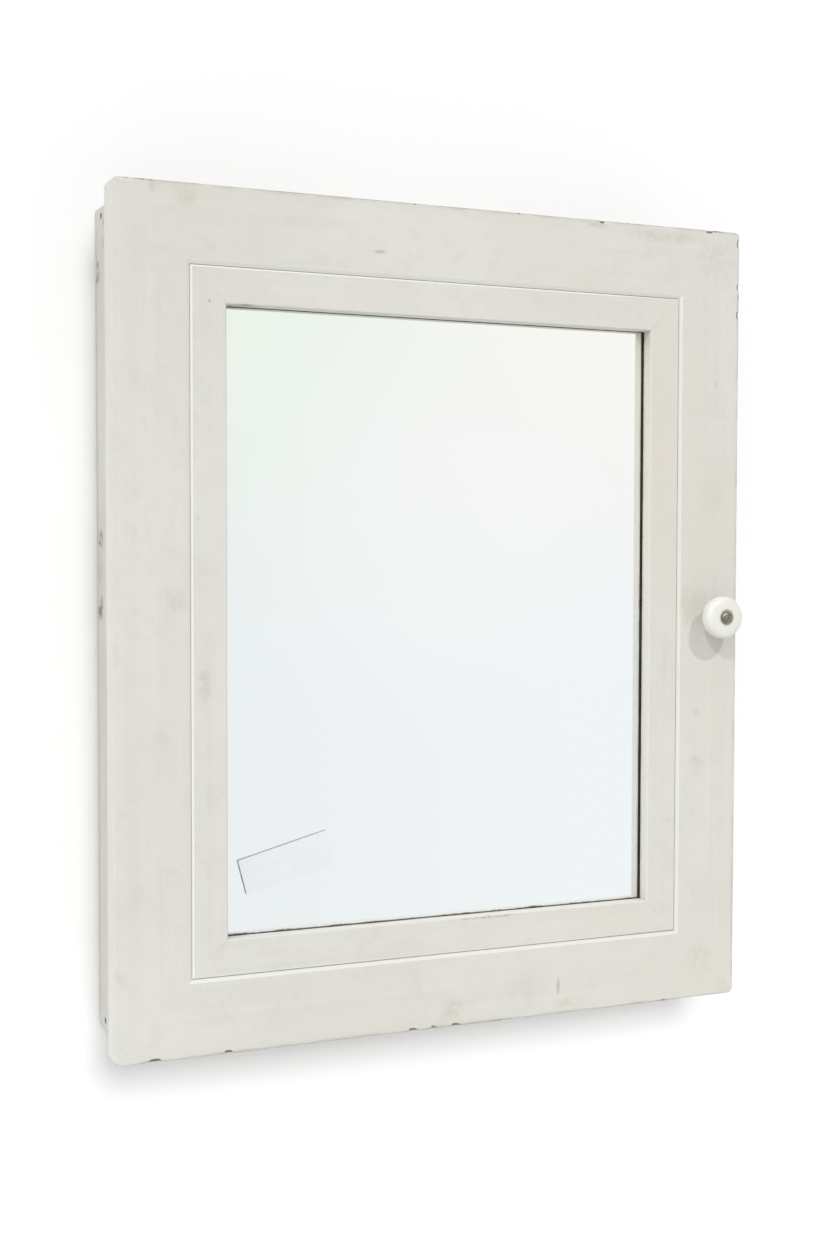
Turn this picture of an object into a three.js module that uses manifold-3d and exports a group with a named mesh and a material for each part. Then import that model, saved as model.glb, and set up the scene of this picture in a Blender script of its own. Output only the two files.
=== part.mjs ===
// Wall-hung medicine cabinet: a shallow painted wooden case with a mirrored door.
// Millimetres. +X to the right, +Y into the wall, +Z up.
// The origin is the middle of the case's back, on the wall.

import * as THREE from 'three';
import { mergeVertices } from 'three/addons/utils/BufferGeometryUtils.js';
import Module from 'manifold-3d';

const wasm = await Module();
wasm.setup();

// ---------------------------------------------------------------- driving dimensions

// Door
const DOOR_WIDTH = 508;
const DOOR_HEIGHT = 610;
const OUTER_BOARD_WIDTH = 55;
const INNER_BOARD_WIDTH = 26.4;
const OUTER_GROOVE_BEVEL = 2.4;
const INNER_GROOVE_BEVEL = 1.2;
const DOOR_EDGE_BEVEL = 0.6;
const SIGHT_EDGE_BEVEL = 0.8;

// Mirror, its backing and the beads that keep it in the rebate
const MIRROR_RECESS = 10.4;
const MIRROR_THICKNESS = 3;
const MIRROR_LAP = 5.5;
const MIRROR_SIDE_CLEARANCE = 1;
const BACKING_THICKNESS = 2.5;
const BEAD_WIDTH = 9;
const BEAD_THICKNESS = 2.5;

// Case
const SIDE_OVERLAY = 9.5;
const END_OVERLAY = 7.5;
const CASE_DEPTH = 62;
const CASE_BOARD = 15;
const CASE_EDGE_BEVEL = 0.8;
const BACK_THICKNESS = 5;
const BACK_REBATE = 7;
const DOOR_GAP = 1.5;
const SHELF_COUNT = 2;
const SHELF_THICKNESS = 12;
const SHELF_SETBACK = 6;
const DADO_DEPTH = 5;
const RAIL_HEIGHT = 40;
const RAIL_THICKNESS = 12;
const WALL_SCREW_RADIUS = 2.5;
const WALL_SCREW_SPACING = 300;

// Corner nails
const NAIL_RADIUS = 1.1;
const NAIL_HEAD_RADIUS = 2.2;
const NAIL_HEAD_THICKNESS = 1;
const NAIL_LENGTH = 38;
const NAIL_POINT_LENGTH = 2;
const NAIL_POINT_RADIUS = 0.3;
const NAIL_INSET = 16;

// Butt hinges
const HINGE_LENGTH = 50;
const HINGE_OFFSET = 92;
const LEAF_THICKNESS = 1;
const LEAF_GRIP = 13;
const LEAF_GAP = 0.5;
const KNUCKLE_RADIUS = 3.2;
const KNUCKLE_COUNT = 5;
const KNUCKLE_TO_CASE = 0.4;
const HINGE_PIN_RADIUS = 1.3;
const PIN_HEAD_RADIUS = 2.6;
const PIN_HEAD_HEIGHT = 1.6;
const PIN_CROWN_RADIUS = 0.6 * PIN_HEAD_RADIUS;
const HINGE_ROOM = 1;
const HINGE_SCREW_SPACING = 17;

// Wood screws
const SCREW_HEAD_RADIUS = 2.8;
const SCREW_HEAD_HEIGHT = 1.7;
const SCREW_RADIUS = 1.4;
const SCREW_LENGTH = 13;
const SCREW_POINT_LENGTH = 3;
const SCREW_POINT_RADIUS = 0.4;
const SCREW_SLOT_WIDTH = 0.8;
const SCREW_SLOT_DEPTH = 0.7;

// Magnetic catch
const CATCH_LENGTH = 46;
const CATCH_BLOCK_LENGTH = 24;
const CATCH_DEPTH = 14;
const CATCH_WIDTH = 12;
const CATCH_EAR = 3;
const CATCH_SETBACK = 0.6;
const CATCH_SCREW_SPACING = 34;
const CATCH_ABOVE_SHELF = 16.5;
const MAGNET_LENGTH = 18;
const MAGNET_WIDTH = 6;
const MAGNET_DEPTH = 8;
const STRIKE_LENGTH = 26;
const STRIKE_WIDTH = 12;
const STRIKE_THICKNESS = 0.8;

// Knob
const KNOB_RADIUS = 16.5;
const KNOB_HEIGHT = 23.5;
const KNOB_FROM_EDGE = 24.8;
const KNOB_NECK_RADIUS = 7.5;
const KNOB_FOOT_FLARE = 0.5;
const KNOB_DISH_RADIUS = 6.6;
const KNOB_DISH_DEPTH = 1.2;
const KNOB_HEIGHT_ON_DOOR = 0;
const NECK_END = 0.16 * KNOB_HEIGHT;
const NECK_PULL = 0.34 * KNOB_HEIGHT;
const FLARE_PULL = 0.36 * KNOB_HEIGHT;
const RIM_AT = 0.68 * KNOB_HEIGHT;
const RIM_PULL = 0.94 * KNOB_HEIGHT;
const SHOULDER_RADIUS = 0.94 * KNOB_RADIUS;
const SHOULDER_PULL = 0.995 * KNOB_HEIGHT;
const BOLT_RADIUS = 2;
const BOLT_HEAD_RADIUS = 5.1;
const BOLT_HEAD_HEIGHT = 3;
const WASHER_RADIUS = 6;
const WASHER_THICKNESS = 1;
const NUT_SIZE = 7;
const NUT_THICKNESS = 3;
const NUT_POCKET_RADIUS = 7.5;
const NUT_POCKET_DEPTH = 6;

// Price label on the mirror
const LABEL_LENGTH = 70;
const LABEL_HEIGHT = 26;
const LABEL_THICKNESS = 0.2;
const LABEL_TURN = 14.8;
const LABEL_FROM_LEFT = 47.8;
const LABEL_FROM_BOTTOM = 50;

// Clearances
const SEAM = 0.3;
const HOLE_CLEARANCE = 0.3;
// How far a cutting shape stands out of the face that it cuts
const OVERSHOOT = 1;

// How finely round shapes are faceted
const ROD_SEGMENTS = 16;
const SCREW_SEGMENTS = 12;
const NAIL_SEGMENTS = 10;
const KNOB_SEGMENTS = 32;
const BOLT_SEGMENTS = 20;
const POCKET_SEGMENTS = 24;
const KNOB_CURVE_STEPS = 6;
const DOME_STEPS = 5;

// ---------------------------------------------------------------- derived places

const CASE_WIDTH = DOOR_WIDTH - 2 * SIDE_OVERLAY;
const CASE_HEIGHT = DOOR_HEIGHT - 2 * END_OVERLAY;
const INNER_WIDTH = CASE_WIDTH - 2 * CASE_BOARD;
const INNER_HEIGHT = CASE_HEIGHT - 2 * CASE_BOARD;
const CASE_FRONT = -CASE_DEPTH;
const DOOR_BACK = CASE_FRONT - DOOR_GAP;
const DOOR_THICKNESS = MIRROR_RECESS + MIRROR_THICKNESS + BACKING_THICKNESS + BEAD_THICKNESS + 2 * SEAM;
const DOOR_FRONT = DOOR_BACK - DOOR_THICKNESS;
const BACK_FRONT = -BACK_THICKNESS;

const FRAME_WIDTH = OUTER_BOARD_WIDTH + SEAM + INNER_BOARD_WIDTH;
const SIGHT_WIDTH = DOOR_WIDTH - 2 * FRAME_WIDTH;
const SIGHT_HEIGHT = DOOR_HEIGHT - 2 * FRAME_WIDTH;
const MIRROR_WIDTH = SIGHT_WIDTH + 2 * MIRROR_LAP;
const MIRROR_HEIGHT = SIGHT_HEIGHT + 2 * MIRROR_LAP;
const REBATE_WIDTH = MIRROR_LAP + MIRROR_SIDE_CLEARANCE;
const MIRROR_FRONT = DOOR_FRONT + MIRROR_RECESS;
const MIRROR_BACK = MIRROR_FRONT + MIRROR_THICKNESS;
const BACKING_FRONT = MIRROR_BACK + SEAM;
const BACKING_BACK = BACKING_FRONT + BACKING_THICKNESS;
const BEAD_FRONT = BACKING_BACK + SEAM;

const HINGE_X = -CASE_WIDTH / 2 - KNUCKLE_TO_CASE - KNUCKLE_RADIUS;
const HINGE_Y = CASE_FRONT - DOOR_GAP / 2;
const HINGE_HEIGHTS = { upper: CASE_HEIGHT / 2 - HINGE_OFFSET, lower: HINGE_OFFSET - CASE_HEIGHT / 2 };
const LEAF_END_X = -CASE_WIDTH / 2 + LEAF_GRIP;
const LEAF_SCREW_X = -CASE_WIDTH / 2 + LEAF_GRIP / 2;

const KNOB_X = DOOR_WIDTH / 2 - KNOB_FROM_EDGE;
const RAIL_TOP = INNER_HEIGHT / 2 - SEAM;
const RAIL_MIDDLE = RAIL_TOP - RAIL_HEIGHT / 2;
const SHELF_FRONT = CASE_FRONT + SHELF_SETBACK;
const SHELF_PITCH = (INNER_HEIGHT - SHELF_COUNT * SHELF_THICKNESS) / (SHELF_COUNT + 1) + SHELF_THICKNESS;
const shelfHeight = (index) => INNER_HEIGHT / 2 - (index + 1) * SHELF_PITCH + SHELF_THICKNESS / 2;

const CATCH_X = INNER_WIDTH / 2 - SEAM;
const CATCH_FRONT = CASE_FRONT + CATCH_SETBACK;
const LOWEST_SHELF_TOP = shelfHeight(SHELF_COUNT - 1) + SHELF_THICKNESS / 2;
const CATCH_HEIGHT = LOWEST_SHELF_TOP + CATCH_ABOVE_SHELF + CATCH_LENGTH / 2;
const STRIKE_X = CATCH_X - CATCH_WIDTH / 2;

// ---------------------------------------------------------------- finishes

const finish = (color, roughness, metalness) => ({ color, roughness, metalness });
const PAINT = finish(0xdddcd6, 0.55, 0);
const CASE_PAINT = finish(0xcfccc4, 0.65, 0);
const BARE_WOOD = finish(0xb89468, 0.75, 0);
const HARDBOARD = finish(0x7a5a3c, 0.8, 0);
const SILVER = finish(0xf0f4f4, 0.03, 1);
const PORCELAIN = finish(0xecece6, 0.12, 0);
const BRONZE = finish(0x786c5a, 0.4, 0.9);
const BRASS = finish(0xa98a4c, 0.4, 1);
const STEEL = finish(0x9a9a98, 0.4, 1);
const IRON = finish(0x5a544e, 0.6, 0.8);
const DARK_PLASTIC = finish(0x4a3a2c, 0.5, 0);
const PAPER = finish(0xecebea, 0.9, 0);

// ---------------------------------------------------------------- shape helpers

const cabinet = new THREE.Group();
const caseGroup = new THREE.Group();
const doorGroup = new THREE.Group();
cabinet.add(caseGroup, doorGroup);

// The merged closed solid of a three.js geometry.
function solid(geometry) {
  const bare = geometry.clone();
  bare.deleteAttribute('normal');
  bare.deleteAttribute('uv');
  const merged = mergeVertices(bare, 1e-4);
  return new wasm.Manifold(new wasm.Mesh({
    numProp: 3,
    vertProperties: new Float32Array(merged.attributes.position.array),
    triVerts: new Uint32Array(merged.index.array),
  }));
}

function surface(manifold) {
  const mesh = manifold.getMesh();
  const geometry = new THREE.BufferGeometry();
  geometry.setAttribute('position', new THREE.BufferAttribute(new Float32Array(mesh.vertProperties), 3));
  geometry.setIndex(new THREE.BufferAttribute(new Uint32Array(mesh.triVerts), 1));
  geometry.computeVertexNormals();
  return geometry;
}

function add(group, name, body, look) {
  const geometry = body instanceof THREE.BufferGeometry ? body : surface(body);
  const mesh = new THREE.Mesh(geometry, new THREE.MeshStandardMaterial(look));
  mesh.name = name;
  group.add(mesh);
  return mesh;
}

// A box from its two extremes on each axis.
function block([x0, x1], [y0, y1], [z0, z1]) {
  const geometry = new THREE.BoxGeometry(x1 - x0, y1 - y0, z1 - z0);
  return solid(geometry.translate((x0 + x1) / 2, (y0 + y1) / 2, (z0 + z1) / 2));
}

const around = (middle, size) => [middle - size / 2, middle + size / 2];

// A closed outline pushed along the third direction of a right-handed frame.
function prism(outline, length, along, across, up, place) {
  const shape = new THREE.Shape(outline.map(([a, b]) => new THREE.Vector2(a, b)));
  const geometry = new THREE.ExtrudeGeometry(shape, { depth: length, bevelEnabled: false, steps: 1 });
  const frame = new THREE.Matrix4().makeBasis(along, across, up);
  frame.setPosition(place);
  return solid(geometry.applyMatrix4(frame));
}

const X = new THREE.Vector3(1, 0, 0);
const Y = new THREE.Vector3(0, 1, 0);
const Z = new THREE.Vector3(0, 0, 1);

// A turned shape: [radius, distance] pairs from the axis back to the axis, facing `direction`.
function turned(profile, place, direction, segments = ROD_SEGMENTS) {
  const points = profile.map(([radius, distance]) => new THREE.Vector2(radius, distance));
  const geometry = new THREE.LatheGeometry(points, segments);
  const turn = new THREE.Quaternion().setFromUnitVectors(Y, direction);
  return solid(geometry.applyQuaternion(turn).translate(place.x, place.y, place.z));
}

function rod(radius, from, length, direction, segments = ROD_SEGMENTS) {
  return turned([[0, 0], [radius, 0], [radius, length], [0, length]], from, direction, segments);
}

// A board's cross-section, `width` across its front and `depth` back, with a 45 degree bevel on each
// front corner.
function section(width, depth, firstBevel, secondBevel) {
  const outline = [
    [firstBevel, 0],
    [width - secondBevel, 0],
    [width, secondBevel],
    [width, depth],
    [0, depth],
    [0, firstBevel],
  ];
  return outline.filter(([a, b], index) => {
    const [nextA, nextB] = outline[(index + 1) % outline.length];
    return a !== nextA || b !== nextB;
  });
}

// ---------------------------------------------------------------- fasteners

// A slotted countersunk wood screw. `mouth` is the middle of its head, `into` points down its shank.
function woodScrew(mouth, into, slotAlong) {
  const body = turned([
    [0, 0],
    [SCREW_HEAD_RADIUS, 0],
    [SCREW_RADIUS, SCREW_HEAD_HEIGHT],
    [SCREW_RADIUS, SCREW_LENGTH - SCREW_POINT_LENGTH],
    [SCREW_POINT_RADIUS, SCREW_LENGTH],
    [0, SCREW_LENGTH],
  ], mouth, into, SCREW_SEGMENTS);
  const slotLength = 2 * (SCREW_HEAD_RADIUS + OVERSHOOT);
  const slot = new THREE.BoxGeometry(slotLength, 2 * SCREW_SLOT_DEPTH, SCREW_SLOT_WIDTH);
  const third = new THREE.Vector3().crossVectors(slotAlong, into);
  slot.applyMatrix4(new THREE.Matrix4().makeBasis(slotAlong, into, third).setPosition(mouth));
  return body.subtract(solid(slot));
}

// The hole that a wood screw goes into, through metal and wood.
function screwHole(mouth, into) {
  const start = mouth.clone().addScaledVector(into, -OVERSHOOT);
  return turned([
    [0, 0],
    [SCREW_HEAD_RADIUS + HOLE_CLEARANCE, 0],
    [SCREW_HEAD_RADIUS + HOLE_CLEARANCE, OVERSHOOT],
    [SCREW_RADIUS + HOLE_CLEARANCE, OVERSHOOT + SCREW_HEAD_HEIGHT],
    [SCREW_RADIUS + HOLE_CLEARANCE, OVERSHOOT + SCREW_LENGTH + HOLE_CLEARANCE],
    [0, OVERSHOOT + SCREW_LENGTH + HOLE_CLEARANCE],
  ], start, into, SCREW_SEGMENTS);
}

function nail(mouth, into) {
  return turned([
    [0, 0],
    [NAIL_HEAD_RADIUS, 0],
    [NAIL_HEAD_RADIUS, NAIL_HEAD_THICKNESS],
    [NAIL_RADIUS, NAIL_HEAD_THICKNESS],
    [NAIL_RADIUS, NAIL_LENGTH - NAIL_POINT_LENGTH],
    [NAIL_POINT_RADIUS, NAIL_LENGTH],
    [0, NAIL_LENGTH],
  ], mouth, into, NAIL_SEGMENTS);
}

function nailHole(mouth, into) {
  const start = mouth.clone().addScaledVector(into, -OVERSHOOT);
  const neck = OVERSHOOT + NAIL_HEAD_THICKNESS + HOLE_CLEARANCE;
  return turned([
    [0, 0],
    [NAIL_HEAD_RADIUS + HOLE_CLEARANCE, 0],
    [NAIL_HEAD_RADIUS + HOLE_CLEARANCE, neck],
    [NAIL_RADIUS + HOLE_CLEARANCE, neck],
    [NAIL_RADIUS + HOLE_CLEARANCE, OVERSHOOT + NAIL_LENGTH + HOLE_CLEARANCE],
    [0, OVERSHOOT + NAIL_LENGTH + HOLE_CLEARANCE],
  ], start, into, NAIL_SEGMENTS);
}

// ---------------------------------------------------------------- door frame

const SIDES = {
  bottom: { inward: Z, span: DOOR_WIDTH, reach: DOOR_HEIGHT / 2 },
  left: { inward: X, span: DOOR_HEIGHT, reach: DOOR_WIDTH / 2 },
  top: { inward: Z.clone().negate(), span: DOOR_WIDTH, reach: DOOR_HEIGHT / 2 },
  right: { inward: X.clone().negate(), span: DOOR_HEIGHT, reach: DOOR_WIDTH / 2 },
};

// One mitred board of a frame. `profile` runs inwards from the board's outer edge, and back from `front`.
function frameBoard(side, inset, width, profile, front) {
  const { inward, span, reach } = SIDES[side];
  const lengthwise = new THREE.Vector3().crossVectors(inward, Y);
  const length = span - 2 * inset;
  const edge = inward.clone().multiplyScalar(inset - reach).addScaledVector(Y, front);
  const start = edge.clone().addScaledVector(lengthwise, -length / 2);
  const bar = prism(profile, length, inward, Y, lengthwise, start);
  const mitre = SEAM * Math.SQRT1_2;
  const half = length / 2 - mitre;
  const outline = [[0, -half], [width, width - half], [width, half - width], [0, half]];
  const behind = edge.clone().addScaledVector(Y, DOOR_THICKNESS);
  const template = prism(outline, DOOR_THICKNESS, inward, lengthwise, Y.clone().negate(), behind);
  return bar.intersect(template);
}

function outerBoard(side) {
  const profile = section(OUTER_BOARD_WIDTH, DOOR_THICKNESS, DOOR_EDGE_BEVEL, OUTER_GROOVE_BEVEL);
  return frameBoard(side, 0, OUTER_BOARD_WIDTH, profile, DOOR_FRONT);
}

function innerBoard(side) {
  const lip = MIRROR_RECESS - SEAM;
  const profile = [
    [INNER_GROOVE_BEVEL, 0],
    [INNER_BOARD_WIDTH - SIGHT_EDGE_BEVEL, 0],
    [INNER_BOARD_WIDTH, SIGHT_EDGE_BEVEL],
    [INNER_BOARD_WIDTH, lip],
    [INNER_BOARD_WIDTH - REBATE_WIDTH, lip],
    [INNER_BOARD_WIDTH - REBATE_WIDTH, DOOR_THICKNESS],
    [0, DOOR_THICKNESS],
    [0, INNER_GROOVE_BEVEL],
  ];
  return frameBoard(side, OUTER_BOARD_WIDTH + SEAM, INNER_BOARD_WIDTH, profile, DOOR_FRONT);
}

// Beads fill what is left of the rebate behind the backing, and stand a little inside the sight edge.
function bead(side) {
  const inset = FRAME_WIDTH - REBATE_WIDTH + SEAM;
  const profile = section(BEAD_WIDTH, BEAD_THICKNESS, 0, 0);
  return frameBoard(side, inset, BEAD_WIDTH, profile, BEAD_FRONT);
}

// The pocket in the door's back that takes a hinge leaf and its knuckle.
function doorHingePocket(height) {
  const span = around(height, HINGE_LENGTH + 2 * PIN_HEAD_HEIGHT + HINGE_ROOM);
  const leafDeep = LEAF_THICKNESS + LEAF_GAP / 2 - DOOR_GAP / 2 + SEAM;
  const knuckleDeep = KNUCKLE_RADIUS - DOOR_GAP / 2 + HOLE_CLEARANCE;
  const leafPocket = block(
    [HINGE_X, LEAF_END_X + SEAM],
    [DOOR_BACK - leafDeep, DOOR_BACK + OVERSHOOT],
    span,
  );
  const knucklePocket = block(
    around(HINGE_X, 2 * (KNUCKLE_RADIUS + HOLE_CLEARANCE)),
    [DOOR_BACK - knuckleDeep, DOOR_BACK + OVERSHOOT],
    span,
  );
  return leafPocket.add(knucklePocket);
}

function caseHingePocket(height) {
  const deep = LEAF_THICKNESS + LEAF_GAP / 2 - DOOR_GAP / 2 + SEAM;
  return block(
    [-CASE_WIDTH / 2 - OVERSHOOT, LEAF_END_X + SEAM],
    [CASE_FRONT - OVERSHOOT, CASE_FRONT + deep],
    around(height, HINGE_LENGTH + HINGE_ROOM),
  );
}

function hingeScrewPlaces(height, intoDoor) {
  const faceY = intoDoor ? HINGE_Y - LEAF_GAP / 2 : HINGE_Y + LEAF_GAP / 2;
  return [-1, 0, 1].map((row) => new THREE.Vector3(LEAF_SCREW_X, faceY, height + row * HINGE_SCREW_SPACING));
}

function cutHinges(board, pocket, intoDoor) {
  const into = intoDoor ? Y.clone().negate() : Y;
  let result = board;
  for (const height of Object.values(HINGE_HEIGHTS)) {
    result = result.subtract(pocket(height));
    for (const place of hingeScrewPlaces(height, intoDoor)) {
      result = result.subtract(screwHole(place, into));
    }
  }
  return result;
}

const STRIKE_SCREW = new THREE.Vector3(STRIKE_X, DOOR_BACK + STRIKE_THICKNESS + SEAM, CATCH_HEIGHT);

function knobHole() {
  const from = new THREE.Vector3(KNOB_X, DOOR_FRONT - OVERSHOOT, KNOB_HEIGHT_ON_DOOR);
  const bore = rod(BOLT_RADIUS + HOLE_CLEARANCE, from, DOOR_THICKNESS + 2 * OVERSHOOT, Y);
  const mouth = new THREE.Vector3(KNOB_X, DOOR_BACK - NUT_POCKET_DEPTH, KNOB_HEIGHT_ON_DOOR);
  return bore.add(rod(NUT_POCKET_RADIUS, mouth, NUT_POCKET_DEPTH + OVERSHOOT, Y, POCKET_SEGMENTS));
}

function buildDoorFrame() {
  const finished = {
    left: (board) => cutHinges(board, doorHingePocket, true),
    right: (board) => board.subtract(knobHole()).subtract(screwHole(STRIKE_SCREW, Y.clone().negate())),
  };
  for (const side of Object.keys(SIDES)) {
    const board = outerBoard(side);
    add(doorGroup, `outer_frame_${side}`, finished[side] ? finished[side](board) : board, PAINT);
    add(doorGroup, `inner_frame_${side}`, innerBoard(side), PAINT);
    add(doorGroup, `mirror_bead_${side}`, bead(side), BARE_WOOD);
  }
}

// ---------------------------------------------------------------- mirror

function buildMirror() {
  const wide = around(0, MIRROR_WIDTH);
  const high = around(0, MIRROR_HEIGHT);
  add(doorGroup, 'mirror_plate', block(wide, [MIRROR_FRONT, MIRROR_BACK], high), SILVER);
  add(doorGroup, 'mirror_backing', block(wide, [BACKING_FRONT, BACKING_BACK], high), HARDBOARD);
}

function buildLabel() {
  const label = new THREE.BoxGeometry(LABEL_LENGTH, LABEL_THICKNESS, LABEL_HEIGHT);
  const mesh = add(doorGroup, 'price_label', label, PAPER);
  mesh.position.set(
    LABEL_FROM_LEFT - SIGHT_WIDTH / 2,
    MIRROR_FRONT - SEAM - LABEL_THICKNESS / 2,
    LABEL_FROM_BOTTOM - SIGHT_HEIGHT / 2,
  );
  mesh.rotation.y = -THREE.MathUtils.degToRad(LABEL_TURN);
}

// ---------------------------------------------------------------- knob

// The outline of the porcelain from the neck at the door round the rim to the dished face.
function knobProfile() {
  const bore = BOLT_RADIUS + HOLE_CLEARANCE;
  const flare = new THREE.CubicBezierCurve(
    new THREE.Vector2(KNOB_NECK_RADIUS, NECK_END),
    new THREE.Vector2(KNOB_NECK_RADIUS, NECK_PULL),
    new THREE.Vector2(KNOB_RADIUS, FLARE_PULL),
    new THREE.Vector2(KNOB_RADIUS, RIM_AT),
  );
  const face = new THREE.CubicBezierCurve(
    new THREE.Vector2(KNOB_RADIUS, RIM_AT),
    new THREE.Vector2(KNOB_RADIUS, RIM_PULL),
    new THREE.Vector2(SHOULDER_RADIUS, SHOULDER_PULL),
    new THREE.Vector2(KNOB_DISH_RADIUS, KNOB_HEIGHT),
  );
  const outline = [
    [bore, 0],
    [KNOB_NECK_RADIUS + KNOB_FOOT_FLARE, 0],
    ...flare.getPoints(KNOB_CURVE_STEPS).map((point) => [point.x, point.y]),
    ...face.getPoints(KNOB_CURVE_STEPS).slice(1).map((point) => [point.x, point.y]),
    [KNOB_DISH_RADIUS - KNOB_DISH_DEPTH / 2, KNOB_HEIGHT - KNOB_DISH_DEPTH],
    [bore, KNOB_HEIGHT - KNOB_DISH_DEPTH],
  ];
  return [...outline, outline[0]];
}

function buildKnob() {
  const forward = Y.clone().negate();
  const foot = new THREE.Vector3(KNOB_X, DOOR_FRONT - SEAM, KNOB_HEIGHT_ON_DOOR);
  add(doorGroup, 'knob', turned(knobProfile(), foot, forward, KNOB_SEGMENTS), PORCELAIN);

  const headAt = KNOB_HEIGHT - KNOB_DISH_DEPTH + SEAM;
  const shank = headAt + SEAM + DOOR_THICKNESS;
  const end = new THREE.Vector3(KNOB_X, DOOR_BACK - SEAM, KNOB_HEIGHT_ON_DOOR);
  const quarter = Math.PI / 2;
  const dome = new THREE.EllipseCurve(0, shank, BOLT_HEAD_RADIUS, BOLT_HEAD_HEIGHT, 0, quarter, false, 0);
  const head = dome.getPoints(DOME_STEPS).map((point) => [Math.max(point.x, 0), point.y]);
  head[head.length - 1][0] = 0;
  const bolt = turned([[0, 0], [BOLT_RADIUS, 0], [BOLT_RADIUS, shank], ...head], end, forward, BOLT_SEGMENTS);
  add(doorGroup, 'knob_bolt', bolt, BRONZE);

  const bore = BOLT_RADIUS + HOLE_CLEARANCE;
  const washerBack = DOOR_BACK - NUT_POCKET_DEPTH + SEAM;
  const washerFace = new THREE.Vector3(KNOB_X, washerBack, KNOB_HEIGHT_ON_DOOR);
  const washer = turned([
    [bore, 0],
    [WASHER_RADIUS, 0],
    [WASHER_RADIUS, WASHER_THICKNESS],
    [bore, WASHER_THICKNESS],
    [bore, 0],
  ], washerFace, Y, BOLT_SEGMENTS);
  add(doorGroup, 'knob_washer', washer, BRASS);

  const nutFace = washerBack + WASHER_THICKNESS + SEAM;
  const nutDeep = [nutFace, nutFace + NUT_THICKNESS];
  const nut = block(around(KNOB_X, NUT_SIZE), nutDeep, around(KNOB_HEIGHT_ON_DOOR, NUT_SIZE));
  const nutStart = new THREE.Vector3(KNOB_X, nutFace - OVERSHOOT, KNOB_HEIGHT_ON_DOOR);
  const through = rod(bore, nutStart, NUT_THICKNESS + 2 * OVERSHOOT, Y);
  add(doorGroup, 'knob_nut', nut.subtract(through), BRASS);
}

// ---------------------------------------------------------------- case

function nailPlaces() {
  const places = [];
  for (const [side, sign] of [['left', -1], ['right', 1]]) {
    for (const [level, up] of [['top', 1], ['bottom', -1]]) {
      for (const [row, depth] of [['front', CASE_FRONT + NAIL_INSET], ['rear', -NAIL_INSET]]) {
        const place = new THREE.Vector3(sign * CASE_WIDTH / 2, depth, up * (INNER_HEIGHT + CASE_BOARD) / 2);
        const into = X.clone().multiplyScalar(-sign);
        places.push({ name: `nail_${side}_${level}_${row}`, side, level, place, into });
      }
    }
  }
  return places;
}

const NAILS = nailPlaces();

function drillNails(board, belongs) {
  const holes = NAILS.filter(belongs).map(({ place, into }) => nailHole(place, into));
  return holes.reduce((cut, hole) => cut.subtract(hole), board);
}

// A side board stands the full height, rebated for the back and grooved for the shelves.
function sideBoard(side, sign) {
  const profile = section(CASE_BOARD, CASE_DEPTH, CASE_EDGE_BEVEL, 0);
  const along = X.clone().multiplyScalar(-sign);
  const up = new THREE.Vector3().crossVectors(along, Y);
  const corner = new THREE.Vector3(sign * CASE_WIDTH / 2, CASE_FRONT, -up.z * CASE_HEIGHT / 2);
  const inner = sign * INNER_WIDTH / 2;
  let board = prism(profile, CASE_HEIGHT, along, Y, up, corner);
  const outTo = (depth) => [inner - sign * OVERSHOOT, inner + sign * depth].sort((a, b) => a - b);
  const rebateHeight = around(0, INNER_HEIGHT + 2 * BACK_REBATE);
  board = board.subtract(block(outTo(BACK_REBATE), [BACK_FRONT - SEAM, OVERSHOOT], rebateHeight));
  for (let index = 0; index < SHELF_COUNT; index += 1) {
    const height = around(shelfHeight(index), SHELF_THICKNESS + 2 * SEAM);
    board = board.subtract(block(outTo(DADO_DEPTH), [SHELF_FRONT - SEAM, OVERSHOOT], height));
  }
  board = drillNails(board, (each) => each.side === side);
  return board;
}

const CATCH_SCREWS = [['upper', 1], ['lower', -1]].map(([name, sign]) => ({
  name,
  place: new THREE.Vector3(
    CATCH_X - CATCH_EAR,
    CATCH_FRONT + CATCH_DEPTH / 2,
    CATCH_HEIGHT + sign * CATCH_SCREW_SPACING / 2,
  ),
}));

// The top and bottom boards sit between the sides.
function endBoard(level, up) {
  const width = INNER_WIDTH - 2 * SEAM;
  const outside = up * CASE_HEIGHT / 2;
  const inside = up * INNER_HEIGHT / 2;
  const high = [outside, inside].sort((a, b) => a - b);
  let board = block(around(0, width), [CASE_FRONT, 0], high);
  const rebate = [inside - up * OVERSHOOT, inside + up * BACK_REBATE].sort((a, b) => a - b);
  board = board.subtract(block(around(0, INNER_WIDTH), [BACK_FRONT - SEAM, OVERSHOOT], rebate));
  return drillNails(board, (each) => each.level === level);
}

function wallScrewHoles(from, to) {
  const starts = [-1, 1].map((sign) => new THREE.Vector3(sign * WALL_SCREW_SPACING / 2, from, RAIL_MIDDLE));
  return starts.map((start) => rod(WALL_SCREW_RADIUS, start, to - from, Y));
}

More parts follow.
